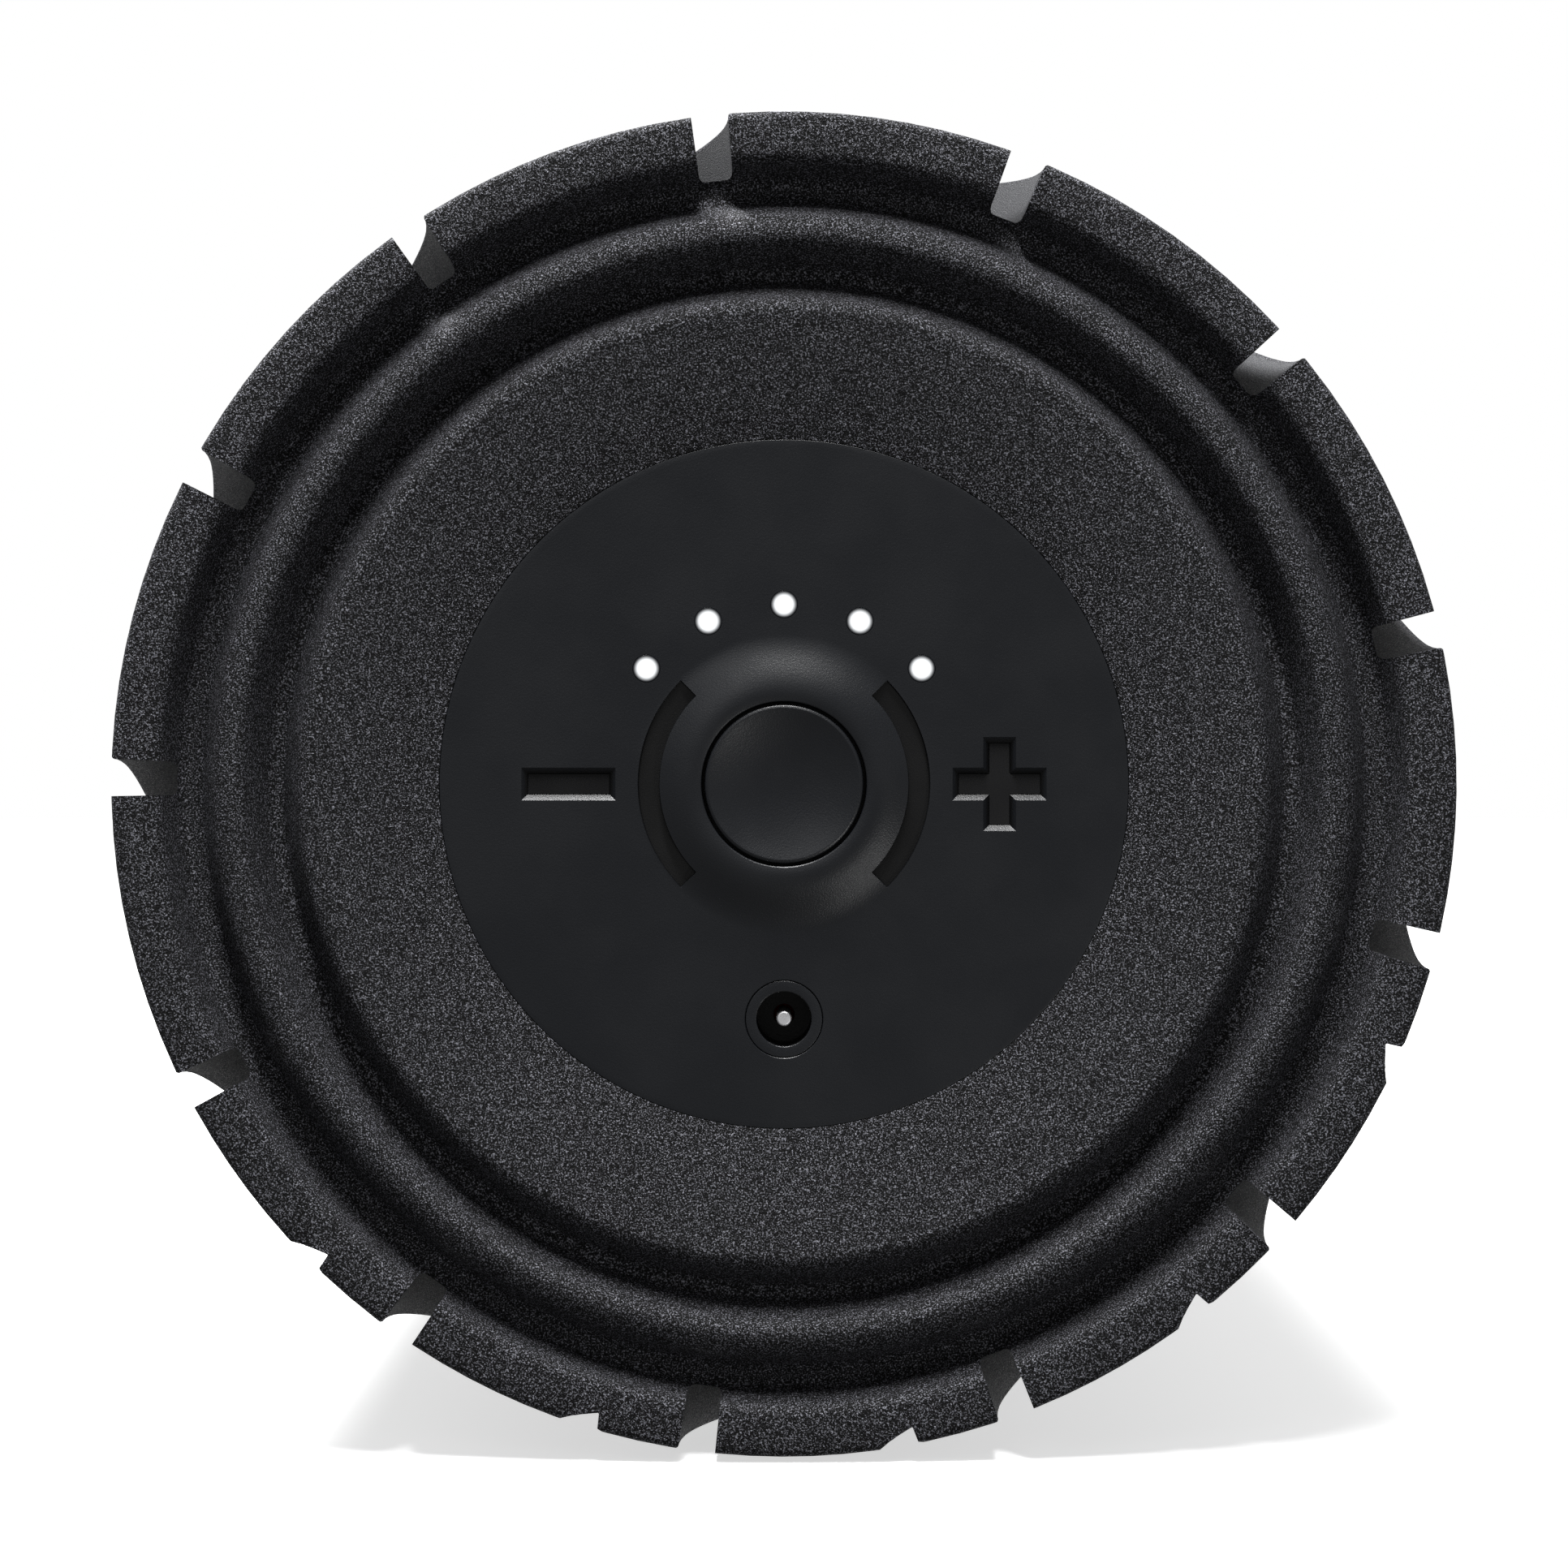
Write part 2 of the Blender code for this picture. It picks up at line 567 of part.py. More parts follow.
def make_motor(steel, magnet, copper):
    """The motor: can, end bell, magnets and bearings, and the rotor that turns in them."""
    hub_end = CAN_HALF + HUB_LENGTH
    inner = CAN_RADIUS - CAN_WALL
    joint = CAN_HALF - 2 * MM
    turned(
        "motor_can",
        [(inner, joint - GAP), (CAN_RADIUS, joint - GAP), (CAN_RADIUS, -CAN_HALF), (HUB_RADIUS, -CAN_HALF),
         (HUB_RADIUS, -hub_end), (HUB_BORE, -hub_end), (HUB_BORE, -joint), (inner, -joint)],
        steel, steps=24,
    )
    turned(
        "motor_end_bell",
        [(HUB_BORE, hub_end), (HUB_RADIUS, hub_end), (HUB_RADIUS, CAN_HALF), (CAN_RADIUS, CAN_HALF),
         (CAN_RADIUS, joint), (HUB_BORE, joint)],
        steel, steps=24,
    )
    for name, middle in (("upper_magnet", math.pi / 2), ("lower_magnet", -math.pi / 2)):
        spread = math.radians(68)
        outline = arc(14.2 * MM, middle - spread, middle + spread, 12)
        outline += arc(inner - GAP, middle + spread, middle - spread, 12)
        placed(name, extruded_mesh(name, [(-17 * MM, outline), (17 * MM, outline)]), magnet)

    bearing = [(SHAFT_RADIUS + GAP, joint + 5.4 * MM), (HUB_BORE - GAP, joint + 5.4 * MM),
               (HUB_BORE - GAP, joint + 0.4 * MM), (SHAFT_RADIUS + GAP, joint + 0.4 * MM)]
    for name, side in (("rear_bearing", 1), ("front_bearing", -1)):
        turned(name, mirrored_ends(bearing, side), steel, steps=16)

    solid_turned(
        "motor_shaft",
        [(0, SHAFT_HALF), (SHAFT_RADIUS, SHAFT_HALF), (SHAFT_RADIUS, -SHAFT_HALF), (0, -SHAFT_HALF)],
        steel, steps=16,
    )
    half, core = 16 * MM, 13.7 * MM
    turned(
        "armature",
        [(SHAFT_RADIUS + GAP, half), (core, half), (core, -half), (SHAFT_RADIUS + GAP, -half)], copper, steps=20,
    )
    outline = arc(WEIGHT_RADIUS, math.radians(190), math.radians(350), 16) + arc(5.2 * MM, 0, math.pi, 10)
    for name, start in (("rear_weight", WEIGHT_FROM), ("front_weight", -WEIGHT_FROM - WEIGHT_THICKNESS)):
        end = start + WEIGHT_THICKNESS
        weight = placed(name, extruded_mesh(name, [(start, outline), (end, outline)]), steel)
        drilled(weight, f"{name}_bore", SHAFT_RADIUS + GAP, start - MM, end + MM, (0, 0, 0))


def make_motor_mount(plastic, rubber):
    """A bulkhead at each end of the motor, with a rubber ring between it and the can."""
    lead_x, lead_z = LEAD_HOLE
    hole = ISOLATOR_RADIUS + GAP
    flat, far = BULKHEAD_FROM, BULKHEAD_FROM + BULKHEAD_THICKNESS
    plate = [(hole, far), (INSERT_RADIUS, far), (INSERT_RADIUS, flat), (hole, flat)]
    flange = 24 * MM
    inside = CAN_RADIUS + GAP
    ring = [(inside, far + 2.3 * MM), (flange, far + 2.3 * MM), (flange, far + GAP), (ISOLATOR_RADIUS, far + GAP),
            (ISOLATOR_RADIUS, flat), (inside, flat)]
    for end, side in (("rear", 1), ("front", -1)):
        bulkhead = turned(f"{end}_bulkhead", mirrored_ends(plate, side), plastic, steps=INNER_STEPS)
        reach = sorted((side * (flat - MM), side * (far + MM)))
        drilled(bulkhead, f"{end}_lead_hole", LEAD_HOLE_RADIUS, *reach, (lead_x, 0, lead_z))
        turned(f"{end}_isolator", mirrored_ends(ring, side), rubber, steps=24)


# ---------------------------------------------------------------- battery pack, main board and leads


def make_battery(wrap, plastic):
    """Three cells side by side, in a cradle that follows the core's bore, under a clamp."""
    cell_end = CELL_START + CELL_LENGTH
    spread = math.radians(62)
    bed = arc(INSERT_RADIUS, -math.pi / 2 - spread, -math.pi / 2 + spread, 16)
    cradle = placed(
        "battery_cradle",
        extruded_mesh("battery_cradle", [(CELL_START - 3 * MM, bed), (cell_end + 3 * MM, bed)]), plastic,
    )
    strap = shifted(rectangle(56 * MM, 9 * MM), z=CELL_HEIGHT + 7.5 * MM)
    clamp = placed(
        "battery_clamp",
        extruded_mesh("battery_clamp", [(CELL_START + 22 * MM, strap), (cell_end - 22 * MM, strap)]), plastic,
    )
    for number in range(3):
        spot = ((number - 1) * CELL_SPACING, 0, CELL_HEIGHT)
        rounded = 0.8 * MM
        points = [
            (0, cell_end), (CELL_RADIUS - rounded, cell_end), (CELL_RADIUS, cell_end - rounded),
            (CELL_RADIUS, CELL_START + rounded), (CELL_RADIUS - rounded, CELL_START), (0, CELL_START),
        ]
        solid_turned(f"battery_cell_{number + 1}", points, wrap, location=spot)
        room = rod_mesh("cell_room", CELL_RADIUS + GAP, CELL_START - GAP, cell_end + GAP, 24)
        pocket = as_cutter(f"cell_room_{number + 1}", room, spot)
        combine(cradle, pocket)
        combine(clamp, pocket)


def make_main_board(board, dark, plastic):
    """The drive and charging board on its tray, with a capacitor beside its connectors."""
    start, end = MAIN_BOARD_SPAN
    half = MAIN_BOARD_HALF_WIDTH
    under = MAIN_BOARD_HEIGHT - BOARD_THICKNESS
    plate = placed(
        "main_board", box_mesh("main_board", (-half, start, under), (half, end, MAIN_BOARD_HEIGHT)), board
    )
    sunk = MAIN_BOARD_HEIGHT - 0.5 * MM
    blocks = {
        "jack_connector": ((6, -124, 5), (18, -117, 5)),
        "panel_connector": ((-20, -124, 5), (-6, -117, 5)),
        "motor_connector": ((10, -66, 6), (20, -59, 6)),
        "battery_connector": ((-20, -66, 6), (-10, -59, 6)),
        "driver_chip": ((-8, -96, 2), (8, -80, 2)),
    }
    for name, ((x0, y0, height), (x1, y1, _)) in blocks.items():
        block = box_mesh(name, (x0 * MM, y0 * MM, sunk), (x1 * MM, y1 * MM, MAIN_BOARD_HEIGHT + height * MM))
        combine(plate, as_cutter(name, block), "UNION")

    cap_y, cap_radius = -104 * MM, 6 * MM
    low = MAIN_BOARD_HEIGHT + GAP
    capacitor = extruded_mesh("capacitor", [(low, arc(cap_radius, 0, 2 * math.pi * 19 / 20, 19)),
                                            (low + 20 * MM, arc(cap_radius, 0, 2 * math.pi * 19 / 20, 19))])
    stood = placed("capacitor", capacitor, dark, (16 * MM, cap_y, 0))
    stood.rotation_euler.x = math.pi / 2

    tray_half = 36 * MM
    floor = MAIN_BOARD_HEIGHT - 12 * MM
    low, high = (-tray_half, start - 4 * MM, floor - 2 * MM), (tray_half, end + 4 * MM, floor)
    tray = placed("board_tray", box_mesh("board_tray", low, high), plastic)
    for x in (-half + 5 * MM, half - 5 * MM):
        for y in (start + 5 * MM, end - 5 * MM):
            low = (x - 2.5 * MM, y - 2.5 * MM, floor - MM)
            post = box_mesh("tray_post", low, (x + 2.5 * MM, y + 2.5 * MM, under - GAP))
            combine(tray, as_cutter(f"tray_post_{x:.3f}_{y:.3f}", post), "UNION")


def make_leads(red, grey):
    """The four internal leads; each route's points are in millimetres."""
    lead("jack_lead", [(0, -138.6, -22.2), (0, -134, -20), (4, -129, -12), (10, -126.6, -9.5), (11, -124.4, -9.5)],
         1.2 * MM, red)
    lead("panel_lead", [(-9, -139.9, 4), (-9, -134, 2), (-11, -129, -4), (-13, -126.6, -9.4), (-13, -124.4, -9.5)],
         1.2 * MM, grey)
    lead("motor_lead", [(15, -57.6, -9), (17, -54, -7), (24, -50, 4), (25, -40, 9), (20, -30, 9), (13, -28.4, 7)],
         1.2 * MM, red)
    lead("battery_lead",
         [(-15, -57.6, -9), (-16, -54, -8), (-28, -43, -1), (-33, -28, 2), (-33, 0, 2), (-33, 28, 2), (-30, 44, -1),
          (-22, 51, -8), (-19, 54.4, -12)],
         1.4 * MM, red)


# ---------------------------------------------------------------- the model


for old in list(bpy.data.objects):
    bpy.data.objects.remove(old)
parts = collection("foam_roller")
cutters = collection("cutters")
Y_FROM_Z = Vector((0, 0, 1)).rotation_difference(Vector((0, 1, 0))).to_matrix()

black_foam = material("black_foam", (0.018, 0.018, 0.020), 0.85)
panel_black = material("panel_black", (0.012, 0.012, 0.013), 0.45)
key_black = material("key_black", (0.010, 0.010, 0.011), 0.40)
core_grey = material("core_grey", (0.10, 0.10, 0.11), 0.60)
clear_acrylic = material("clear_acrylic", (0.90, 0.92, 0.95), 0.15)
green_board = material("green_board", (0.01, 0.09, 0.04), 0.45)
dark_resin = material("dark_resin", (0.02, 0.02, 0.02), 0.50)
zinc_steel = material("zinc_steel", (0.55, 0.55, 0.56), 0.35, 1.0)
chromed = material("chromed", (0.80, 0.80, 0.80), 0.12, 1.0)
ferrite = material("ferrite", (0.06, 0.06, 0.06), 0.70)
winding_copper = material("winding_copper", (0.55, 0.22, 0.10), 0.40, 1.0)
isolator_rubber = material("isolator_rubber", (0.03, 0.03, 0.03), 0.90)
cell_wrap = material("cell_wrap", (0.05, 0.18, 0.45), 0.30)
red_wire = material("red_wire", (0.45, 0.02, 0.02), 0.50)
grey_wire = material("grey_wire", (0.25, 0.25, 0.26), 0.50)

make_foam(black_foam)
make_core(core_grey, zinc_steel)
make_panel(panel_black)
make_controls(key_black)
make_light_guide(clear_acrylic)
make_jack(key_black, chromed)
make_control_board(green_board, dark_resin, zinc_steel, clear_acrylic)
make_motor(zinc_steel, ferrite, winding_copper)
make_motor_mount(core_grey, isolator_rubber)
make_battery(cell_wrap, core_grey)
make_main_board(green_board, dark_resin, core_grey)
make_leads(red_wire, grey_wire)
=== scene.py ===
"""A vibrating foam roller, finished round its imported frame.

Metres, +Z up. The roller lies along Y with its control face towards -Y. Profiles are drawn in
millimetres as (radius, depth): a depth is measured inwards from the foremost plane of the nearer end.
"""

import math

import bmesh
import bpy
import numpy as np
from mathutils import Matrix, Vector


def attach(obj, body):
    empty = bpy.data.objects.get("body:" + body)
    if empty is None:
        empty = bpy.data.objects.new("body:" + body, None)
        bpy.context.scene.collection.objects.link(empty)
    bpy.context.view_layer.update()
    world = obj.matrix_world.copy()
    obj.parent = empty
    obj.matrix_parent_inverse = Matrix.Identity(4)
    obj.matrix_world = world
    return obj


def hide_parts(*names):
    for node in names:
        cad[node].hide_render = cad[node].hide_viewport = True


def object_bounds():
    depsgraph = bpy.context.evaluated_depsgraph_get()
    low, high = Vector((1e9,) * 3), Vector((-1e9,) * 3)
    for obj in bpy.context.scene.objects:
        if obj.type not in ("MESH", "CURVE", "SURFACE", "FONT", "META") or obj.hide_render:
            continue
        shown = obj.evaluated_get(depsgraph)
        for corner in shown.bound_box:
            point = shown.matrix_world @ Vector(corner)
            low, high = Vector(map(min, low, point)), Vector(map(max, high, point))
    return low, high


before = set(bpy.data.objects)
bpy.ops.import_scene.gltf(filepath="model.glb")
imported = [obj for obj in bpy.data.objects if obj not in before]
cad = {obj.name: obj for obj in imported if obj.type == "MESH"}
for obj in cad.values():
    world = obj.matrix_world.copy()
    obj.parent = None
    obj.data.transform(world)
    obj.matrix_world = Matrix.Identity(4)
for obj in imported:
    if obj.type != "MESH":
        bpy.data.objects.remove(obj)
cad_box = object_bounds()
front_y, rear_y = cad_box[0].y, cad_box[1].y
MM = 0.001


# ---------------------------------------------------------------- rigid core
# The core is a moulded ABS tube with a cap screwed into each end. It carries the foam and closes in
# the motor, the cells and the boards, and it has the fine even texture of a spark-eroded mould.


def new_finish(name, color, roughness, metallic=0.0):
    """A Principled material: returns it with its node tree and its shader."""
    made = bpy.data.materials.new(name)
    made.use_nodes = True
    shader = made.node_tree.nodes["Principled BSDF"]
    shader.inputs["Base Color"].default_value = (*color, 1)
    shader.inputs["Roughness"].default_value = roughness
    shader.inputs["Metallic"].default_value = metallic
    return made, made.node_tree, shader


def speckle(tree, size, detail=2.0, stretch=(1, 1, 1)):
    """Noise from 0 to 1 with lumps about `size` metres across, on the piece's own coordinates."""
    place = tree.nodes.new("ShaderNodeTexCoord")
    scaled = tree.nodes.new("ShaderNodeMapping")
    scaled.inputs["Scale"].default_value = stretch
    noise = tree.nodes.new("ShaderNodeTexNoise")
    noise.inputs["Scale"].default_value = 1 / size
    noise.inputs["Detail"].default_value = detail
    tree.links.new(place.outputs["Object"], scaled.inputs["Vector"])
    tree.links.new(scaled.outputs["Vector"], noise.inputs["Vector"])
    return noise.outputs["Fac"]


def spread(tree, value, low, high, start=0.3, end=0.7):
    """A noise value between start and end, spread smoothly over low to high."""
    step = tree.nodes.new("ShaderNodeMapRange")
    step.interpolation_type = "SMOOTHSTEP"
    for name, number in (("From Min", start), ("From Max", end), ("To Min", low), ("To Max", high)):
        step.inputs[name].default_value = number
    tree.links.new(value, step.inputs["Value"])
    return step.outputs["Result"]


def blend_colors(tree, value, dark, light):
    """A colour that runs from dark to light as the value runs from 0 to 1."""
    mix = tree.nodes.new("ShaderNodeMix")
    mix.data_type = "RGBA"
    mix.inputs["A"].default_value = (*dark, 1)
    mix.inputs["B"].default_value = (*light, 1)
    tree.links.new(value, mix.inputs["Factor"])
    return mix.outputs["Result"]


def combined(tree, operation, *values):
    """The result of one arithmetic step on the values."""
    step = tree.nodes.new("ShaderNodeMath")
    step.operation = operation
    for socket, value in zip(step.inputs, values):
        tree.links.new(value, socket)
    return step.outputs["Value"]


def relief(tree, shader, height, depth):
    """Bump: a height from 0 to 1 stands for `depth` metres."""
    bump = tree.nodes.new("ShaderNodeBump")
    bump.inputs["Strength"].default_value = 1.0
    bump.inputs["Distance"].default_value = depth
    tree.links.new(height, bump.inputs["Height"])
    tree.links.new(bump.outputs["Normal"], shader.inputs["Normal"])


def moulded_plastic(name, dark, light, roughness, grain=0.25 * MM, depth=0.01 * MM):
    """Moulded plastic: a fine eroded texture, and a faint cloud of tone and gloss across the piece."""
    made, tree, shader = new_finish(name, dark, roughness)
    cloud = speckle(tree, 12 * MM, detail=3)
    tree.links.new(blend_colors(tree, spread(tree, cloud, 0, 1), dark, light), shader.inputs["Base Color"])
    tree.links.new(spread(tree, cloud, roughness - 0.05, roughness + 0.05), shader.inputs["Roughness"])
    relief(tree, shader, speckle(tree, grain), depth)
    return made


def dress(finish, *names):
    """Give frame pieces their finish."""
    for name in names:
        for slot in cad[name].material_slots:
            slot.material = finish


core_plastic = moulded_plastic("core_plastic", (0.085, 0.087, 0.092), (0.11, 0.112, 0.118), 0.55)
dress(core_plastic, "core_tube", "front_end_cap", "rear_end_cap")


# ---------------------------------------------------------------- screws
# Pan-head screws hold the caps to the core and the control board to the panel. They are zinc-plated
# steel, slightly cloudy, with the faint rings that a lathe leaves.


def turned_metal(name, dark, light, roughness, ring=0.12 * MM):
    """Bright metal with fine rings round the roller's direction and a cloud in its gloss."""
    made, tree, shader = new_finish(name, light, roughness, metallic=1.0)
    cloud = speckle(tree, 3 * MM)
    tree.links.new(blend_colors(tree, spread(tree, cloud, 0, 1), dark, light), shader.inputs["Base Color"])
    tree.links.new(spread(tree, cloud, roughness - 0.08, roughness + 0.08), shader.inputs["Roughness"])
    relief(tree, shader, speckle(tree, ring, stretch=(0.05, 1, 0.05)), 0.004 * MM)
    return made


zinc_plate = turned_metal("zinc_plate", (0.42, 0.43, 0.45), (0.62, 0.63, 0.65), 0.35)
dress(zinc_plate, *[f"{end}_cap_screw_{number}" for end in ("front", "rear") for number in (1, 2, 3)])
dress(zinc_plate, *[f"board_screw_{number}" for number in (1, 2, 3, 4)])


# ---------------------------------------------------------------- motor and its mount
# A brushed motor lies on the roller's axis, with an off-centre steel weight on each end of its shaft.
# Two bulkheads pressed into the core hold it through soft rubber rings.

can_steel = turned_metal("can_steel", (0.38, 0.39, 0.40), (0.52, 0.53, 0.54), 0.30, ring=0.3 * MM)
dress(can_steel, "motor_can", "motor_end_bell", "motor_shaft", "front_weight", "rear_weight")
bearing_steel = turned_metal("bearing_steel", (0.62, 0.63, 0.65), (0.75, 0.76, 0.78), 0.15)
dress(bearing_steel, "front_bearing", "rear_bearing")
wound_copper = turned_metal("wound_copper", (0.40, 0.14, 0.05), (0.62, 0.26, 0.11), 0.40, ring=0.4 * MM)
dress(wound_copper, "armature")
sintered_ferrite = moulded_plastic("sintered_ferrite", (0.045, 0.045, 0.048), (0.07, 0.07, 0.073), 0.70, 0.1 * MM)
dress(sintered_ferrite, "upper_magnet", "lower_magnet")
isolator_rubber = moulded_plastic("isolator_rubber", (0.018, 0.018, 0.018), (0.03, 0.03, 0.03), 0.85, 0.5 * MM)
dress(isolator_rubber, "front_isolator", "rear_isolator")
dress(core_plastic, "front_bulkhead", "rear_bulkhead")


# ---------------------------------------------------------------- cells
# Three lithium cells in shrink wrap lie side by side in a moulded cradle, under a clamp.

cell_wrap = moulded_plastic("cell_wrap", (0.03, 0.14, 0.38), (0.05, 0.19, 0.48), 0.28, 2 * MM, 0.03 * MM)
dress(cell_wrap, "battery_cell_1", "battery_cell_2", "battery_cell_3")
dress(core_plastic, "battery_cradle", "battery_clamp")


# ---------------------------------------------------------------- boards and leads
# Glass-fibre boards under green solder mask carry the drive, the switches and the lights. The mask
# shows the woven glass as a faint relief. Silicone-covered leads join them.


def solder_mask():
    """Green mask over copper: broad darker tracks from stretched noise, on a fine weave."""
    made, tree, shader = new_finish("solder_mask", (0.008, 0.075, 0.035), 0.35)
    tracks = spread(tree, speckle(tree, 4 * MM, detail=0, stretch=(1, 0.15, 1)), 0, 1, 0.48, 0.52)
    tree.links.new(blend_colors(tree, tracks, (0.006, 0.06, 0.028), (0.012, 0.11, 0.05)), shader.inputs["Base Color"])
    relief(tree, shader, speckle(tree, 0.4 * MM, detail=0), 0.01 * MM)
    return made


dress(solder_mask(), "control_board", "main_board")
black_resin = moulded_plastic("black_resin", (0.012, 0.012, 0.013), (0.022, 0.022, 0.024), 0.45)
dress(black_resin, "power_switch", "minus_switch", "plus_switch", "capacitor")
chip_resin = moulded_plastic("chip_resin", (0.85, 0.80, 0.45), (0.92, 0.88, 0.60), 0.30)
dress(chip_resin, "led_1", "led_2", "led_3", "led_4", "led_5")
dress(core_plastic, "board_tray")
red_silicone = moulded_plastic("red_silicone", (0.38, 0.015, 0.012), (0.50, 0.03, 0.02), 0.50, 1 * MM)
dress(red_silicone, "jack_lead", "motor_lead", "battery_lead")
grey_silicone = moulded_plastic("grey_silicone", (0.20, 0.20, 0.21), (0.28, 0.28, 0.29), 0.50, 1 * MM)
dress(grey_silicone, "panel_lead")


# ---------------------------------------------------------------- foam sleeve
# The sleeve is moulded EVA foam, closed-cell and finely grained. Thirteen deep wave grooves run its
# whole length, and five shallow saw-tooth grooves run beside the lower ones. Its ends are contoured.

SLEEVE_RADIUS = 63.5
SIDE_RINGS = 100
OUTER_WALL = 56.0  # radius from which the end contour only rises
GROOVE_FLOOR = 57.6
HALF_GROOVE = 1.75
GROOVES = 13
GROOVE_PITCH = 2 * math.pi / GROOVES
FIRST_GROOVE = math.radians(13.3)
SHALLOW_BEFORE = (8, 9, 10, 11, 12)
WAVE_SWING = math.radians(7)
SLEEVE_END = [  # (radius, depth, fillet): bore, valley floor, ridge, outer valley, rim
    (48.36, 4.4, 0), (48.95, 4.4, 0.7), (51.1, 0.05, 1.3), (53.5, 0.05, 2.2), (55.3, 4.3, 1.2),
    (57.4, 4.3, 1.4), (58.9, 0.0, 1.2), (63.5, 0.0, 0.8), (63.5, 2.0, 0),
]


def filleted(corners, steps=4):
    """Points along a path given as corners (across, along, fillet): each fillet is an arc from one
    tangent point to the other, turned about the point that lies its radius from both sides."""
    points = [np.array(corners[0][:2], float)]
    for before, corner, after in zip(corners, corners[1:], corners[2:]):
        here, radius = np.array(corner[:2], float), corner[2]
        back = np.array(before[:2]) - here
        on = np.array(after[:2]) - here
        back, on = back / np.linalg.norm(back), on / np.linalg.norm(on)
        half = math.acos(np.clip(back @ on, -1, 1)) / 2
        if radius == 0:
            points.append(here)
            continue
        centre = here + (back + on) / np.linalg.norm(back + on) * radius / math.sin(half)
        start, end = here + back * radius / math.tan(half) - centre, here + on * radius / math.tan(half) - centre
        sweep = math.pi - 2 * half
        for t in np.linspace(0, 1, steps + 1):
            points.append(centre + (start * math.sin((1 - t) * sweep) + end * math.sin(t * sweep)) / math.sin(sweep))
    points.append(np.array(corners[-1][:2], float))
    return np.array(points)


def filled(path, gap):
    """A path with points added by straight interpolation where its first coordinate jumps by more than gap."""
    pieces = []
    for here, there in zip(path, path[1:]):
        count = max(1, math.ceil(abs(there[0] - here[0]) / gap))
        pieces.append(here + (there - here) * np.arange(count)[:, None] / count)
    return np.concatenate([*pieces, path[-1:]])


def skin(name, rings, looped=False):
    """A mesh over rings, an array (rings, points, 3). Each ring closes on itself, neighbouring rings are
    joined by quads, and a looped skin joins its last ring to its first. Points that meet are merged."""
    index = np.arange(rings.shape[0] * rings.shape[1]).reshape(rings.shape[:2])
    here = index if looped else index[:-1]
    there = np.roll(index, -1, axis=0)[: len(here)]
    quads = np.stack([here, np.roll(here, -1, axis=1), np.roll(there, -1, axis=1), there], axis=-1)
    mesh = bpy.data.meshes.new(name)
    mesh.from_pydata(rings.reshape(-1, 3).tolist(), [], quads.reshape(-1, 4).tolist())
    merged = bmesh.new()
    merged.from_mesh(mesh)
    bmesh.ops.remove_doubles(merged, verts=merged.verts, dist=0.000001)
    bmesh.ops.dissolve_degenerate(merged, edges=merged.edges, dist=0.0000001)
    bmesh.ops.recalc_face_normals(merged, faces=merged.faces)
    merged.to_mesh(mesh)
    merged.free()
    return mesh


def shown(name, mesh, finish, sharp=40):
    """A new piece at the origin, smooth between edges sharper than that angle."""
    mesh.shade_smooth()
    mesh.set_sharp_from_angle(angle=math.radians(sharp))
    mesh.materials.clear()
    mesh.materials.append(finish)
    piece = bpy.data.objects.new(name, mesh)
    bpy.context.scene.collection.objects.link(piece)
    return piece


def wave(y):
    """How far a groove has turned at y: a sine that starts at a crest and makes two waves in the length."""
    return WAVE_SWING * (1 - np.cos(4 * np.pi * (y - front_y) / (rear_y - front_y)))


def sleeve_section():
    """The sleeve's outline as (angle, radius): lands, deep grooves with upright walls, and shallow saw-teeth.
    Each groove is drawn as (distance round the rim, radius), and the distance over the radius is its angle."""
    groove = filleted(
        [(-2.6, SLEEVE_RADIUS), (-HALF_GROOVE, SLEEVE_RADIUS, 0.4), (-HALF_GROOVE, GROOVE_FLOOR, 0.6),
         (HALF_GROOVE, GROOVE_FLOOR, 0.6), (HALF_GROOVE, SLEEVE_RADIUS, 0.1), (2.2, SLEEVE_RADIUS)], steps=3)
    shallow = filleted(
        [(-13.9, SLEEVE_RADIUS), (-13.4, SLEEVE_RADIUS, 0.5), (-11.7, 62.45, 4.0), (-9.9, 61.75, 0.1),
         (-9.62, 63.3, 0.1), (-9.1, SLEEVE_RADIUS, 0.3), (-8.6, SLEEVE_RADIUS)], steps=3)
    outline = []
    for number in range(GROOVES):
        for part in [shallow] * (number in SHALLOW_BEFORE) + [groove]:
            turned = part / [SLEEVE_RADIUS, 1]
            outline.append(turned + [FIRST_GROOVE + number * GROOVE_PITCH, 0])
    outline = np.concatenate(outline)
    closed = np.concatenate([outline, outline[:1] + [2 * math.pi, 0]])
    return filled(closed, math.radians(3))[:-1]


def sleeve_rings():
    """The turned contour of front end, side and rear end, held back to the section's radius at every angle.
    Where the section is lower than the contour, the end face retreats to the contour's depth at that radius.
    Each ring is then turned about Y by the wave at its y."""
    end = filleted(SLEEVE_END)
    side = np.linspace(front_y + 3 * MM, rear_y - 3 * MM, SIDE_RINGS)
    radius = np.concatenate([end[:, 0], np.full(SIDE_RINGS, SLEEVE_RADIUS), end[::-1, 0]])[:, None]
    y = np.concatenate([front_y + end[:, 1] * MM, side, rear_y - end[::-1, 1] * MM])[:, None]
    angle, limit = sleeve_section().T
    wall = end[end[:, 0] >= OUTER_WALL]
    retreat = np.interp(limit, wall[:, 0], wall[:, 1]) * MM
    y = np.where(radius >= limit, np.clip(y, front_y + retreat, rear_y - retreat), y)
    radius = np.minimum(radius, limit) * MM
    angle = angle + wave(y)
    return np.stack([radius * np.cos(angle), y, radius * np.sin(angle)], axis=-1)


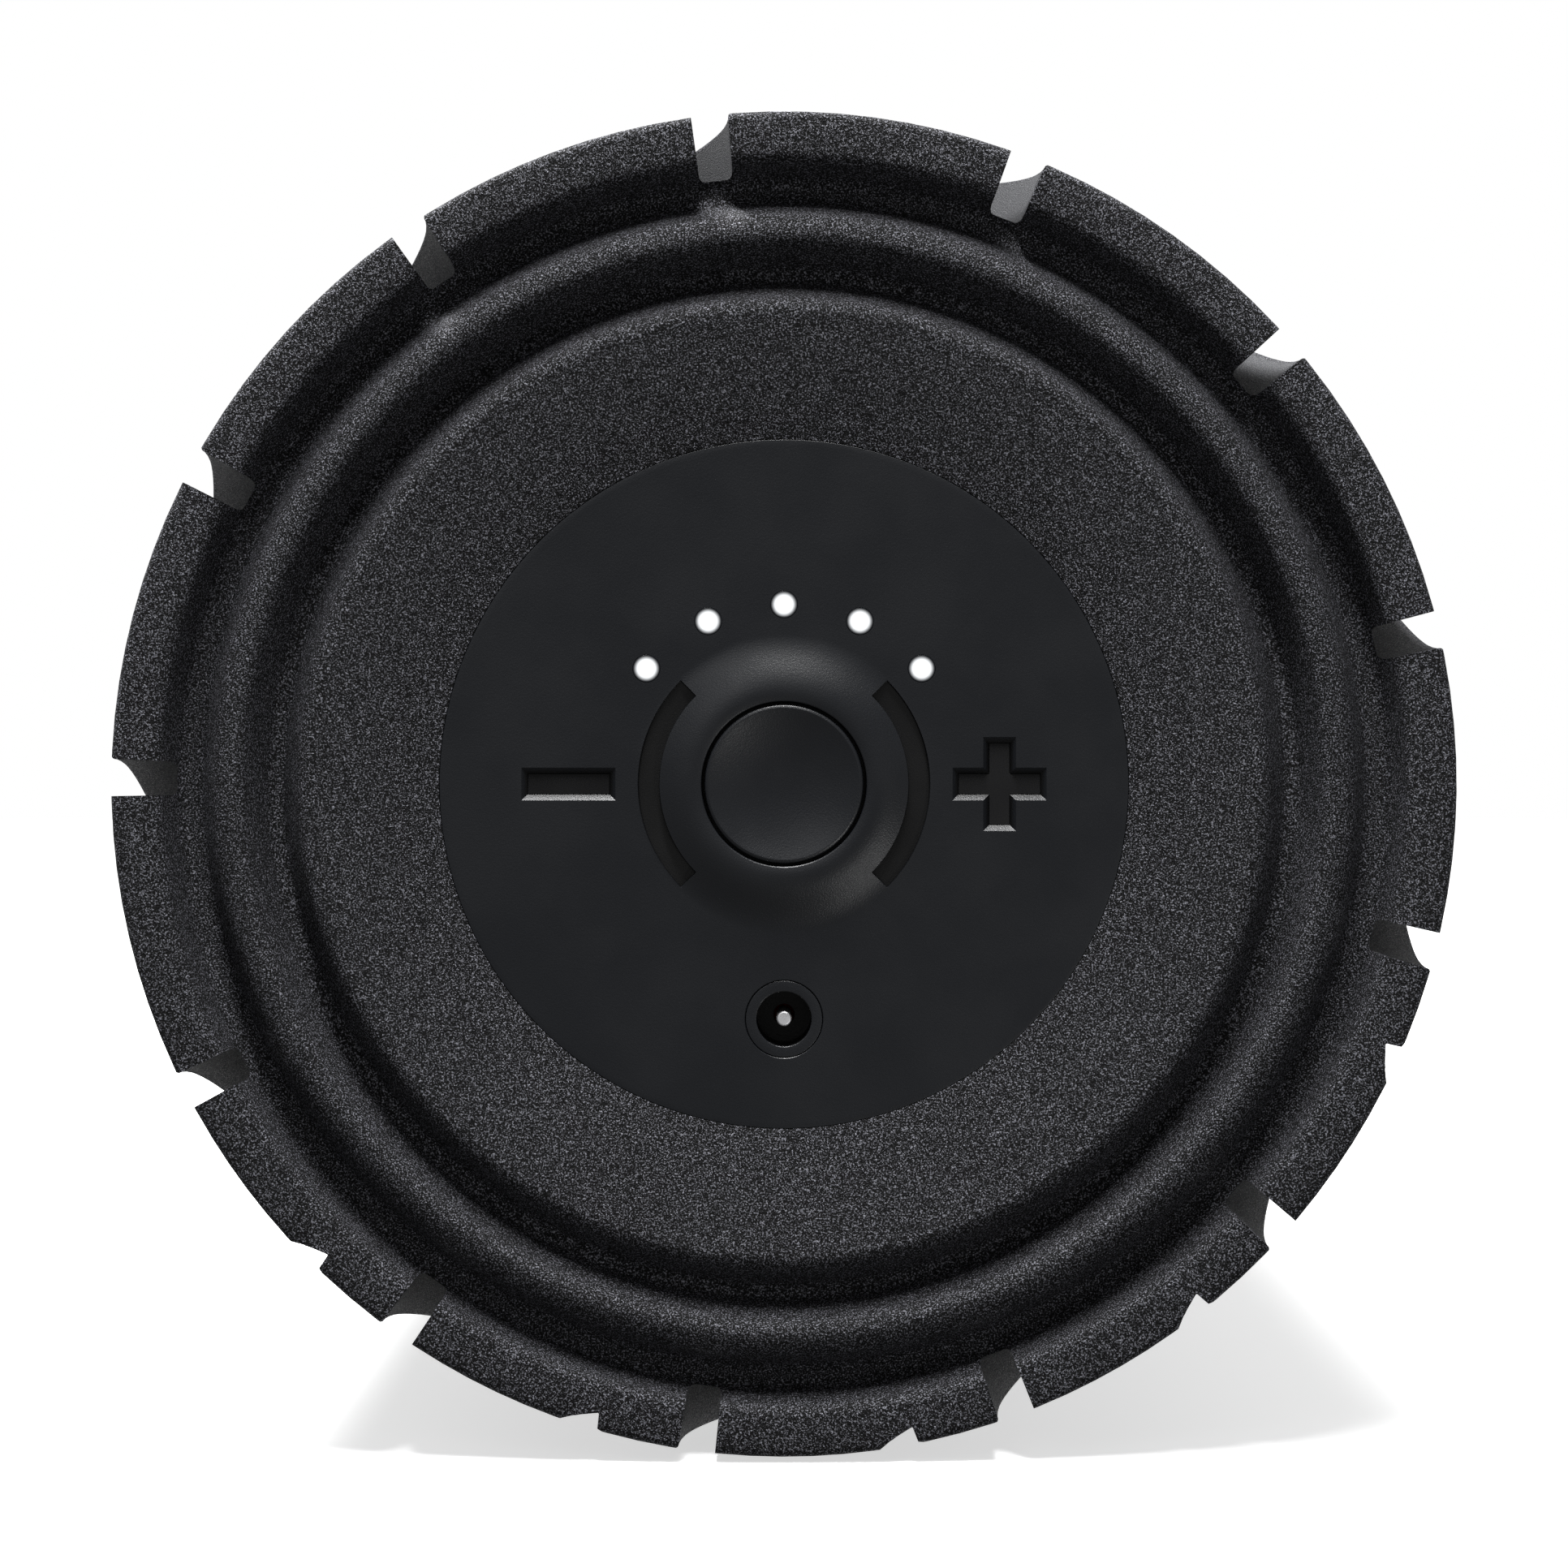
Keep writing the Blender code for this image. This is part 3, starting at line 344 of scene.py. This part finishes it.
def grained_foam():
    """EVA foam: dark cells and pale tops so fine that they glint; the pale tops are painted glints on the grain. The
    tops are smoother than the cells. Inside the grooves, which the radius and the distance from the ends tell, the skin
    is an even grey, painted light that stands in for the light on the groove walls."""
    made, tree, shader = new_finish("grained_foam", (0.02, 0.02, 0.022), 0.42)
    grain = speckle(tree, 0.15 * MM)
    tops = spread(tree, grain, 0, 1, 0.48, 0.88)
    # painted glints: the pale tops of the grain are a light base colour standing in for glints, between dark cells
    grain_and_painted_glint = blend_colors(tree, tops, (0.002, 0.002, 0.0022), (0.34, 0.343, 0.392))
    place = tree.nodes.new("ShaderNodeTexCoord")
    parts = tree.nodes.new("ShaderNodeSeparateXYZ")
    flat = tree.nodes.new("ShaderNodeVectorMath")
    flat.operation = "MULTIPLY"
    flat.inputs[1].default_value = (1, 0, 1)
    radius = tree.nodes.new("ShaderNodeVectorMath")
    radius.operation = "LENGTH"
    tree.links.new(place.outputs["Object"], parts.inputs["Vector"])
    tree.links.new(place.outputs["Object"], flat.inputs[0])
    tree.links.new(flat.outputs["Vector"], radius.inputs[0])
    beyond_floor = spread(tree, radius.outputs["Value"], 0, 1, 57.2 * MM, 57.5 * MM)
    below_face = spread(tree, radius.outputs["Value"], 1, 0, 62.9 * MM, 63.3 * MM)
    inwards = combined(tree, "ABSOLUTE", parts.outputs["Y"])
    inside = spread(tree, inwards, 1, 0, rear_y - 4.6 * MM, rear_y - 4.1 * MM)
    groove = combined(tree, "MULTIPLY", inside, combined(tree, "MULTIPLY", beyond_floor, below_face))
    # painted light: inside the grooves an even grey stands in for the light that reaches the groove walls
    groove_painted_light = blend_colors(tree, spread(tree, grain, 0, 1), (0.034, 0.0345, 0.037), (0.052, 0.0525, 0.056))
    tone = tree.nodes.new("ShaderNodeMix")
    tone.data_type = "RGBA"
    tree.links.new(groove, tone.inputs["Factor"])
    tree.links.new(grain_and_painted_glint, tone.inputs["A"])
    tree.links.new(groove_painted_light, tone.inputs["B"])
    tree.links.new(tone.outputs["Result"], shader.inputs["Base Color"])
    tree.links.new(spread(tree, grain, 0.9, 0.35, 0.4, 0.7), shader.inputs["Roughness"])
    shader.inputs["Specular IOR Level"].default_value = 0.2
    relief(tree, shader, grain, 0.16 * MM)
    return made


foam = grained_foam()
sleeve = shown("moulded_sleeve", skin("moulded_sleeve", sleeve_rings(), looped=True), foam)
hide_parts("foam_sleeve")
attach(sleeve, "roller")


# ---------------------------------------------------------------- end pads
# A ring of the same foam covers each end cap. Its face is slightly dished, and its outer edge rolls
# over into the inner valley, where the seam to the sleeve is hidden.

PAD_END = [  # (radius, depth, fillet): back, bore, rolled outer edge, back again
    (32.64, 8.0, 0), (32.64, 1.98, 0.05), (45.5, 0.0, 1.6), (47.6, 4.4, 0.8), (48.34, 4.4, 0), (48.34, 8.0, 0),
    (32.64, 8.0, 0),
]


def from_front(depth):
    """Y of a depth, in millimetres, behind the control end."""
    return front_y + depth * MM


def from_rear(depth):
    """Y of a depth, in millimetres, inside the plain end."""
    return rear_y - depth * MM


def lathe(path, steps, place, centre=(0, 0)):
    """Rings of a turned piece: each (radius, depth) of the path is carried round an axis along Y."""
    angle = np.linspace(0, 2 * math.pi, steps, endpoint=False)
    radius = path[:, :1] * MM
    y = np.broadcast_to(place(path[:, 1:2]), (len(path), steps))
    return np.stack([centre[0] + radius * np.cos(angle), y, centre[1] + radius * np.sin(angle)], axis=-1)


for end, place in (("front", from_front), ("rear", from_rear)):
    pad = shown(f"{end}_pad", skin(f"{end}_pad", lathe(filleted(PAD_END, steps=6), 180, place)), foam)
    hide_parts(f"{end}_foam_pad")
    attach(pad, "roller")


# ---------------------------------------------------------------- control panel
# The panel is one satin-black moulding. A low mound rises round the button, with a flat-bottomed arc
# groove on each side, and it has bevelled windows for the keys and holes for the lights and the inlet.

PANEL_RADIUS = 32.6
PANEL_FACE = 2.0
PANEL_BACK = 4.4
SKIRT_BACK, SKIRT_RADIUS = 8.0, 30.5
BUTTON_HOLE = 7.8
LIP_RADIUS = 7.98
CREST_RADIUS = 8.7
CREST_DEPTH = 0.8
MOUND_RADIUS = 14.2
ARC_INNER, ARC_OUTER, ARC_FLOOR = 11.8, 13.8, 2.6
KEY_OFFSET = 20.4
MARK_LENGTH, MARK_WIDTH, MARK_BEVEL = 8.9, 3.1, 0.55
LIGHT_CIRCLE = 17.0
LIGHT_ANGLES = np.radians([140, 115, 90, 65, 40])
LIGHT_HOLE, INLET_HOLE = 1.32, 3.69
INLET = (0, -22.25 * MM)


def ease(t):
    """A smooth step from 0 to 1."""
    t = np.clip(t, 0, 1)
    return t * t * (3 - 2 * t)


def mound_depth(radius):
    """A parabola that rises 0.12 mm from the button's hole to the crest, then a smooth step down to the flat."""
    inner = CREST_DEPTH + 0.12 * ((CREST_RADIUS - radius) / (CREST_RADIUS - BUTTON_HOLE)) ** 2
    outer = CREST_DEPTH + (PANEL_FACE - CREST_DEPTH) * ease((radius - CREST_RADIUS) / (MOUND_RADIUS - CREST_RADIUS))
    return np.where(radius < CREST_RADIUS, inner, outer)


def panel_rings():
    """Polar rings of the panel: the mound's depth at each radius. Between the arc grooves' radii and end angles
    the depth goes over to the groove's floor, by a smooth step about 0.1 mm wide at each wall."""
    wall = np.array([-0.05, -0.025, 0.0, 0.025, 0.05])
    face = np.concatenate([
        np.linspace(LIP_RADIUS, ARC_INNER - 0.2, 24), ARC_INNER + wall,
        np.linspace(ARC_INNER + 0.2, ARC_OUTER - 0.2, 8), ARC_OUTER + wall,
        np.linspace(ARC_OUTER + 0.2, MOUND_RADIUS, 4), np.linspace(15.0, 32.0, 18),
    ])
    edge = filleted([
        (32.3, PANEL_FACE, 0), (PANEL_RADIUS, PANEL_FACE, 0.06), (PANEL_RADIUS, SKIRT_BACK, 0),
        (SKIRT_RADIUS, SKIRT_BACK, 0), (SKIRT_RADIUS, PANEL_BACK, 0),
    ])
    hole_depth = float(mound_depth(BUTTON_HOLE))
    lip = filleted([(BUTTON_HOLE, PANEL_BACK, 0), (BUTTON_HOLE, hole_depth - 0.01, 0.16), (7.99, mound_depth(7.99), 0)])
    path = np.concatenate([lip[:-1], np.stack([face, mound_depth(face)], axis=1), edge[1:], lip[:1]])

    corner = wall / ARC_OUTER
    ends = np.concatenate([angle + corner for angle in np.radians([45, 135, 225, 315])])
    plain = np.radians(np.arange(0, 360, 2.0))
    plain = plain[np.abs(plain[:, None] - ends).min(axis=1) > math.radians(0.5)]
    angle = np.sort(np.concatenate([plain, ends]))
    across = np.abs(np.cos(angle)) - math.cos(math.pi / 4)
    inside_ends = ease(0.5 + across * ARC_OUTER / 0.07)
    radius = path[:, :1]
    inside_ring = ease(0.5 + (radius - ARC_INNER) / 0.1) * ease(0.5 + (ARC_OUTER - radius) / 0.1)
    depth = path[:, 1:2] + (ARC_FLOOR - path[:, 1:2]) * inside_ring * inside_ends * (path[:, 1:2] <= PANEL_FACE)
    radius = np.broadcast_to(radius, depth.shape) * MM
    return np.stack([radius * np.cos(angle), from_front(depth), radius * np.sin(angle)], axis=-1)


def prism_rings(outline, offsets, depths, centre):
    """Rings of a cutter whose outline, a function of a margin, changes its margin from depth to depth."""
    rings = []
    for margin, depth in zip(offsets, depths):
        points = outline(margin) * MM
        y = np.full(len(points), from_front(depth))
        rings.append(np.stack([centre[0] + points[:, 0], y, centre[1] + points[:, 1]], axis=-1))
    return np.array(rings)


def capped(name, rings):
    """A closed mesh over rings, with a flat face over its first and last ring."""
    mesh = skin(name, rings)
    closing = bmesh.new()
    closing.from_mesh(mesh)
    bmesh.ops.holes_fill(closing, edges=[edge for edge in closing.edges if edge.is_boundary])
    bmesh.ops.recalc_face_normals(closing, faces=closing.faces)
    closing.to_mesh(mesh)
    closing.free()
    return mesh


def minus_shape(margin):
    """A minus sign grown by a margin."""
    long, short = MARK_LENGTH / 2 + margin, MARK_WIDTH / 2 + margin
    return np.array([(long, short), (-long, short), (-long, -short), (long, -short)])


def plus_shape(margin):
    """A plus sign grown by a margin: one quarter, turned four times."""
    long, short = MARK_LENGTH / 2 + margin, MARK_WIDTH / 2 + margin
    quarter = np.array([(long, -short), (long, short), (short, short)])
    turns = [np.array([[c, s], [-s, c]]) for c, s in ((1, 0), (0, 1), (-1, 0), (0, -1))]
    return np.concatenate([quarter @ turn for turn in turns])


def circle(radius, steps):
    """A circle's outline, as a function of a margin."""
    angle = np.linspace(0, 2 * math.pi, steps, endpoint=False)
    return lambda margin: np.stack([np.cos(angle), np.sin(angle)], axis=1) * (radius + margin)


def around(radius, angle):
    """(x, z) in metres of a point at a radius in millimetres and an angle."""
    return radius * MM * math.cos(angle), radius * MM * math.sin(angle)


def carve(piece, cutters, operation="DIFFERENCE"):
    """Cut a piece by closed meshes, or join them to it, and write the result to its mesh."""
    guides = []
    for mesh in cutters:
        guide = bpy.data.objects.new("guide", mesh)
        bpy.context.scene.collection.objects.link(guide)
        step = piece.modifiers.new("cut", "BOOLEAN")
        step.operation = operation
        step.object = guide
        guides.append(guide)
    evaluated = piece.evaluated_get(bpy.context.evaluated_depsgraph_get())
    result = bpy.data.meshes.new_from_object(evaluated)
    piece.modifiers.clear()
    piece.data = result
    for guide in guides:
        bpy.data.objects.remove(guide)
    result.shade_smooth()
    result.set_sharp_from_angle(angle=math.radians(25))


def satin_black(name):
    """Satin moulding: near-black, with a very fine texture and a slow cloud in its gloss. Where it lies
    deeper than the panel's face, which its distance from the roller's middle tells, it is painted blacker, as painted
    shade in the recesses."""
    made, tree, shader = new_finish(name, (0.0095, 0.0097, 0.0105), 0.42)
    place = tree.nodes.new("ShaderNodeTexCoord")
    along = tree.nodes.new("ShaderNodeSeparateXYZ")
    tree.links.new(place.outputs["Object"], along.inputs["Vector"])
    inwards = combined(tree, "ABSOLUTE", along.outputs["Y"])
    face = spread(tree, inwards, 0, 1, rear_y - 2.5 * MM, rear_y - 2.1 * MM)
    # painted shade: the base colour goes blacker where the moulding lies deeper than the panel's face, in grooves,
    # windows and holes
    tone = blend_colors(tree, face, (0.0010, 0.0010, 0.0012), (0.0052, 0.0060, 0.0078))
    tree.links.new(tone, shader.inputs["Base Color"])
    tree.links.new(spread(tree, speckle(tree, 9 * MM, detail=3), 0.33, 0.40), shader.inputs["Roughness"])
    shader.inputs["Specular IOR Level"].default_value = 0.42
    relief(tree, shader, speckle(tree, 0.16 * MM), 0.016 * MM)
    return made


panel_finish = satin_black("satin_black")
panel = shown("round_panel", skin("round_panel", panel_rings()), panel_finish, sharp=25)
window_depths = [PANEL_FACE - MARK_BEVEL, PANEL_FACE + MARK_BEVEL, PANEL_BACK + 1]
window_margins = [MARK_BEVEL, -MARK_BEVEL, -MARK_BEVEL]
hole_depths = [PANEL_FACE - 0.06, PANEL_FACE + 0.06, PANEL_BACK + 1]
openings = [
    capped("minus_window", prism_rings(minus_shape, window_margins, window_depths, (-KEY_OFFSET * MM, 0))),
    capped("plus_window", prism_rings(plus_shape, window_margins, window_depths, (KEY_OFFSET * MM, 0))),
    capped("inlet_hole", prism_rings(circle(INLET_HOLE, 96), [0.12, 0, 0], hole_depths, INLET)),
]
for angle in LIGHT_ANGLES:
    hole = prism_rings(circle(LIGHT_HOLE, 40), [0, 0], [PANEL_FACE - 1, PANEL_BACK + 1], around(LIGHT_CIRCLE, angle))
    openings.append(capped("light_hole", hole))
carve(panel, openings)
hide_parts("control_panel")
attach(panel, "roller")


# ---------------------------------------------------------------- button and keys
# The round button is dished for a fingertip and stands in the mound with a narrow gap round it. The
# minus and plus keys are the flat floors of their bevelled windows. All three press and spring back.

BUTTON_RADIUS = 7.5
BUTTON_FLANGE = 8.8
DISH_RADIUS, DISH_DEPTH, DISH_RISE = 7.0, 1.95, 0.95
FLANGE_FRONT, FLANGE_BACK = 4.7, 5.7  # of the button and both keys, behind the panel
dish = np.linspace(0, DISH_RADIUS, 15)
button_path = np.concatenate([
    np.stack([dish, DISH_DEPTH - DISH_RISE * (dish / DISH_RADIUS) ** 2], axis=1),
    filleted([
        (DISH_RADIUS, 1.0, 0), (7.2, 0.95, 0.12), (BUTTON_RADIUS, 1.05, 0.2), (BUTTON_RADIUS, FLANGE_FRONT, 0),
        (BUTTON_FLANGE, FLANGE_FRONT, 0.1), (BUTTON_FLANGE, FLANGE_BACK, 0.1), (0, FLANGE_BACK, 0),
    ])[1:],
])
button_mesh = skin("dished_button", lathe(button_path, 128, from_front))
button = shown("dished_button", button_mesh, satin_black("satin_button"), sharp=50)
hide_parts("power_button")
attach(button, "power_button")
key_finish = moulded_plastic("key_finish", (0.0035, 0.0035, 0.004), (0.006, 0.006, 0.0065), 0.50, 0.12 * MM, 0.006 * MM)
key_finish.node_tree.nodes["Principled BSDF"].inputs["Specular IOR Level"].default_value = 0.2
key_margins = [-MARK_BEVEL - 0.07, -MARK_BEVEL - 0.03, -MARK_BEVEL - 0.03, 0.4, 0.4]
key_depths = [PANEL_FACE + MARK_BEVEL, PANEL_FACE + MARK_BEVEL + 0.04, FLANGE_FRONT, FLANGE_FRONT, FLANGE_BACK]
for sign, shape, side in (("minus", minus_shape, -1), ("plus", plus_shape, 1)):
    cap_rings = prism_rings(shape, key_margins, key_depths, (side * KEY_OFFSET * MM, 0))
    cap = shown(f"{sign}_key_cap", capped(f"{sign}_key_cap", cap_rings), key_finish, sharp=25)
    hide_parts(f"{sign}_key")
    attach(cap, f"{sign}_key")


# ---------------------------------------------------------------- speed lights
# One smoked acrylic bar lies behind the panel, and its five posts end level with the face in the light
# holes. Lit from behind, each glows white with a soft edge.


def lit_acrylic():
    """Smoked acrylic, lit through only in the posts: white inside 0.60 mm, and faded out at 1.26 mm. The glow
    follows the distance to the nearest of the five post axes."""
    made, tree, shader = new_finish("lit_acrylic", (0.0070, 0.0079, 0.0100), 0.36)
    shader.inputs["Specular IOR Level"].default_value = 0.20
    place = tree.nodes.new("ShaderNodeTexCoord")
    flat = tree.nodes.new("ShaderNodeMapping")
    flat.inputs["Scale"].default_value = (1, 0, 1)
    tree.links.new(place.outputs["Object"], flat.inputs["Vector"])
    nearest = None
    for angle in LIGHT_ANGLES:
        x, z = around(LIGHT_CIRCLE, angle)
        apart = tree.nodes.new("ShaderNodeVectorMath")
        apart.operation = "DISTANCE"
        apart.inputs[1].default_value = (x, 0, z)
        tree.links.new(flat.outputs["Vector"], apart.inputs[0])
        here = apart.outputs["Value"]
        nearest = combined(tree, "MINIMUM", nearest, here) if nearest else here
    glow = spread(tree, nearest, 1, 0, 0.60 * MM, 1.26 * MM)
    tree.links.new(blend_colors(tree, glow, (0, 0, 0), (0.96, 0.98, 1)), shader.inputs["Emission Color"])
    shader.inputs["Emission Strength"].default_value = 1.6
    return made


def arc_bar(inner, outer, start, end, steps):
    """A curved bar's outline between two radii, as a function of a margin that it ignores."""
    angle = np.linspace(start, end, steps)
    ring = np.stack([np.cos(angle), np.sin(angle)], axis=1)
    outline = np.concatenate([ring * inner, ring[::-1] * outer])
    return lambda margin: outline


HALF_BAR, BAR_DEPTHS = 1.5, [5.2, 7.0]
POST_RADIUS, POST_BACK = 1.30, 9.0
bar = arc_bar(LIGHT_CIRCLE - HALF_BAR, LIGHT_CIRCLE + HALF_BAR, LIGHT_ANGLES[-1] - 0.1, LIGHT_ANGLES[0] + 0.1, 40)
lights = shown("light_bar", capped("light_bar", prism_rings(bar, [0, 0], BAR_DEPTHS, (0, 0))), lit_acrylic())
post_path = np.concatenate([
    np.stack([np.linspace(0, 1.2, 9), np.full(9, PANEL_FACE)], axis=1),
    [(1.27, PANEL_FACE), (POST_RADIUS, PANEL_FACE + 0.03), (POST_RADIUS, POST_BACK), (0, POST_BACK)],
])
posts = [skin("post", lathe(post_path, 32, from_front, around(LIGHT_CIRCLE, angle))) for angle in LIGHT_ANGLES]
carve(lights, posts, operation="UNION")
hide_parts("light_guide")
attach(lights, "roller")


# ---------------------------------------------------------------- charging inlet
# A round black socket stands flush in the panel, with a bright plated pin in the middle of its bore.

BORE, BORE_FLOOR = 2.6, 11.5
SOCKET_FACE, SOCKET_RADIUS = 2.04, 3.62
BODY_RADIUS, BODY_BACK = 4.8, 13.5
PIN_HOLE, PIN_RADIUS = 1.03, 0.73
inlet_path = filleted([
    (BORE, BORE_FLOOR, 0), (BORE, SOCKET_FACE, 0.10), (SOCKET_RADIUS, SOCKET_FACE, 0.06), (SOCKET_RADIUS, 4.7, 0),
    (BODY_RADIUS, 4.7, 0), (BODY_RADIUS, BODY_BACK, 0), (PIN_HOLE, BODY_BACK, 0), (PIN_HOLE, BORE_FLOOR, 0),
    (BORE, BORE_FLOOR, 0),
])
inlet_mesh = skin("charging_socket", lathe(inlet_path, 96, from_front, INLET))
inlet = shown("charging_socket", inlet_mesh, panel_finish, sharp=60)
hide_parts("dc_jack")
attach(inlet, "roller")

pin_path = filleted([(0, 3.1, 0), (PIN_RADIUS, 3.1, 0.22), (PIN_RADIUS, 13.3, 0.1), (0, 13.3, 0)], steps=6)
pin_metal = turned_metal("pin_metal", (0.82, 0.82, 0.84), (0.92, 0.92, 0.94), 0.50)
pin = shown("socket_pin", skin("socket_pin", lathe(pin_path, 48, from_front, INLET)), pin_metal)
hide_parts("jack_pin")
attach(pin, "roller")


# ---------------------------------------------------------------- rear cover
# The plain end has a flat disc of the panel's plastic, clipped into the rear cap.

cover_path = filleted([
    (0, PANEL_FACE, 0), (PANEL_RADIUS, PANEL_FACE, 0.5), (PANEL_RADIUS, PANEL_BACK, 0), (0, PANEL_BACK, 0),
])
cover = shown("plain_cover", skin("plain_cover", lathe(filled(cover_path, 4.0), 180, from_rear)), panel_finish)
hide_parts("rear_cover")
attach(cover, "roller")


# ---------------------------------------------------------------- studio
# A pale floor and a pale surround, which shines mostly from behind the roller. A broad soft light high
# above grazes the control face, and two weak ones face it from the upper left and the lower right.

FRONT_LIGHT, BACK_LIGHT = 0.20, 0.8
FLOOR_SIZE, FLOOR_DROP = 16.0, 0.0005


def floor_grid(size, count):
    """A flat square of small squares under the roller."""
    side = np.linspace(-size / 2, size / 2, count)
    x, y = np.meshgrid(side, side)
    points = np.stack([x, y, np.full_like(x, cad_box[0].z - FLOOR_DROP)], axis=-1)
    index = np.arange(count * count).reshape(count, count)
    quads = np.stack([index[:-1, :-1], index[:-1, 1:], index[1:, 1:], index[1:, :-1]], axis=-1)
    mesh = bpy.data.meshes.new("studio_floor")
    mesh.from_pydata(points.reshape(-1, 3).tolist(), [], quads.reshape(-1, 4).tolist())
    return mesh


floor_paint, floor_tree, floor_shader = new_finish("floor_paint", (0.88, 0.88, 0.88), 0.9)
tint = blend_colors(floor_tree, speckle(floor_tree, 0.4), (0.86, 0.86, 0.86), (0.90, 0.90, 0.90))
floor_tree.links.new(tint, floor_shader.inputs["Base Color"])
far = floor_tree.nodes.new("ShaderNodeVectorMath")
far.operation = "LENGTH"
floor_tree.links.new(floor_tree.nodes.new("ShaderNodeTexCoord").outputs["Object"], far.inputs[0])
distance = spread(floor_tree, far.outputs["Value"], 0, 1, 0.3, 1.5)
glow = blend_colors(floor_tree, distance, (0.6, 0.6, 0.6), (0.85, 0.85, 0.85))
floor_tree.links.new(glow, floor_shader.inputs["Emission Color"])
floor_shader.inputs["Emission Strength"].default_value = 1.0
floor = shown("studio_floor", floor_grid(FLOOR_SIZE, 9), floor_paint)
floor.visible_diffuse = floor.visible_glossy = floor.visible_shadow = False

surround = bpy.data.worlds.new("pale_surround")
surround.use_nodes = True
sky = surround.node_tree
ray = sky.nodes.new("ShaderNodeLightPath")
direction = sky.nodes.new("ShaderNodeSeparateXYZ")
sky.links.new(sky.nodes.new("ShaderNodeTexCoord").outputs["Generated"], direction.inputs["Vector"])
behind = spread(sky, direction.outputs["Y"], FRONT_LIGHT, BACK_LIGHT, -0.1, 0.4)
strength = sky.nodes.new("ShaderNodeMapRange")
strength.inputs["To Max"].default_value = 1.0
sky.links.new(behind, strength.inputs["To Min"])
sky.links.new(ray.outputs["Is Camera Ray"], strength.inputs["Value"])
sky.links.new(strength.outputs["Result"], sky.nodes["Background"].inputs["Strength"])
sky.nodes["Background"].inputs["Color"].default_value = (1, 1, 1, 1)
bpy.context.scene.world = surround


def soft_light(name, place, size, power):
    """A rectangular area light aimed at the control face."""
    data = bpy.data.lights.new(name, "AREA")
    data.shape = "RECTANGLE"
    data.size, data.size_y = size
    data.energy = power
    lamp = bpy.data.objects.new(name, data)
    lamp.location = place
    lamp.rotation_euler = (Vector((0, front_y, 0)) - Vector(place)).to_track_quat("-Z", "Y").to_euler()
    bpy.context.scene.collection.objects.link(lamp)


soft_light("key_light", (-0.20, -0.245, 1.1), (1.5, 0.18), 66)
soft_light("upper_light", (-0.22, -0.93, 0.39), (0.3, 0.3), 0.30)
soft_light("low_light", (0.35, -0.75, -0.35), (0.12, 0.12), 0.74)

CAMERA_DISTANCE = 0.45
VIEW_MARGIN = 1.163  # half the picture's width, in roller radii
camera = bpy.data.cameras.new("camera")
camera.lens = camera.sensor_width / 2 * CAMERA_DISTANCE / (VIEW_MARGIN * SLEEVE_RADIUS * MM)
camera.clip_start = 0.01
viewer = bpy.data.objects.new("camera", camera)
viewer.location = (0, front_y - CAMERA_DISTANCE, 0)
viewer.rotation_euler = (math.pi / 2, 0, 0)
bpy.context.scene.collection.objects.link(viewer)
bpy.context.scene.camera = viewer
bpy.context.scene.view_settings.view_transform = "Standard"
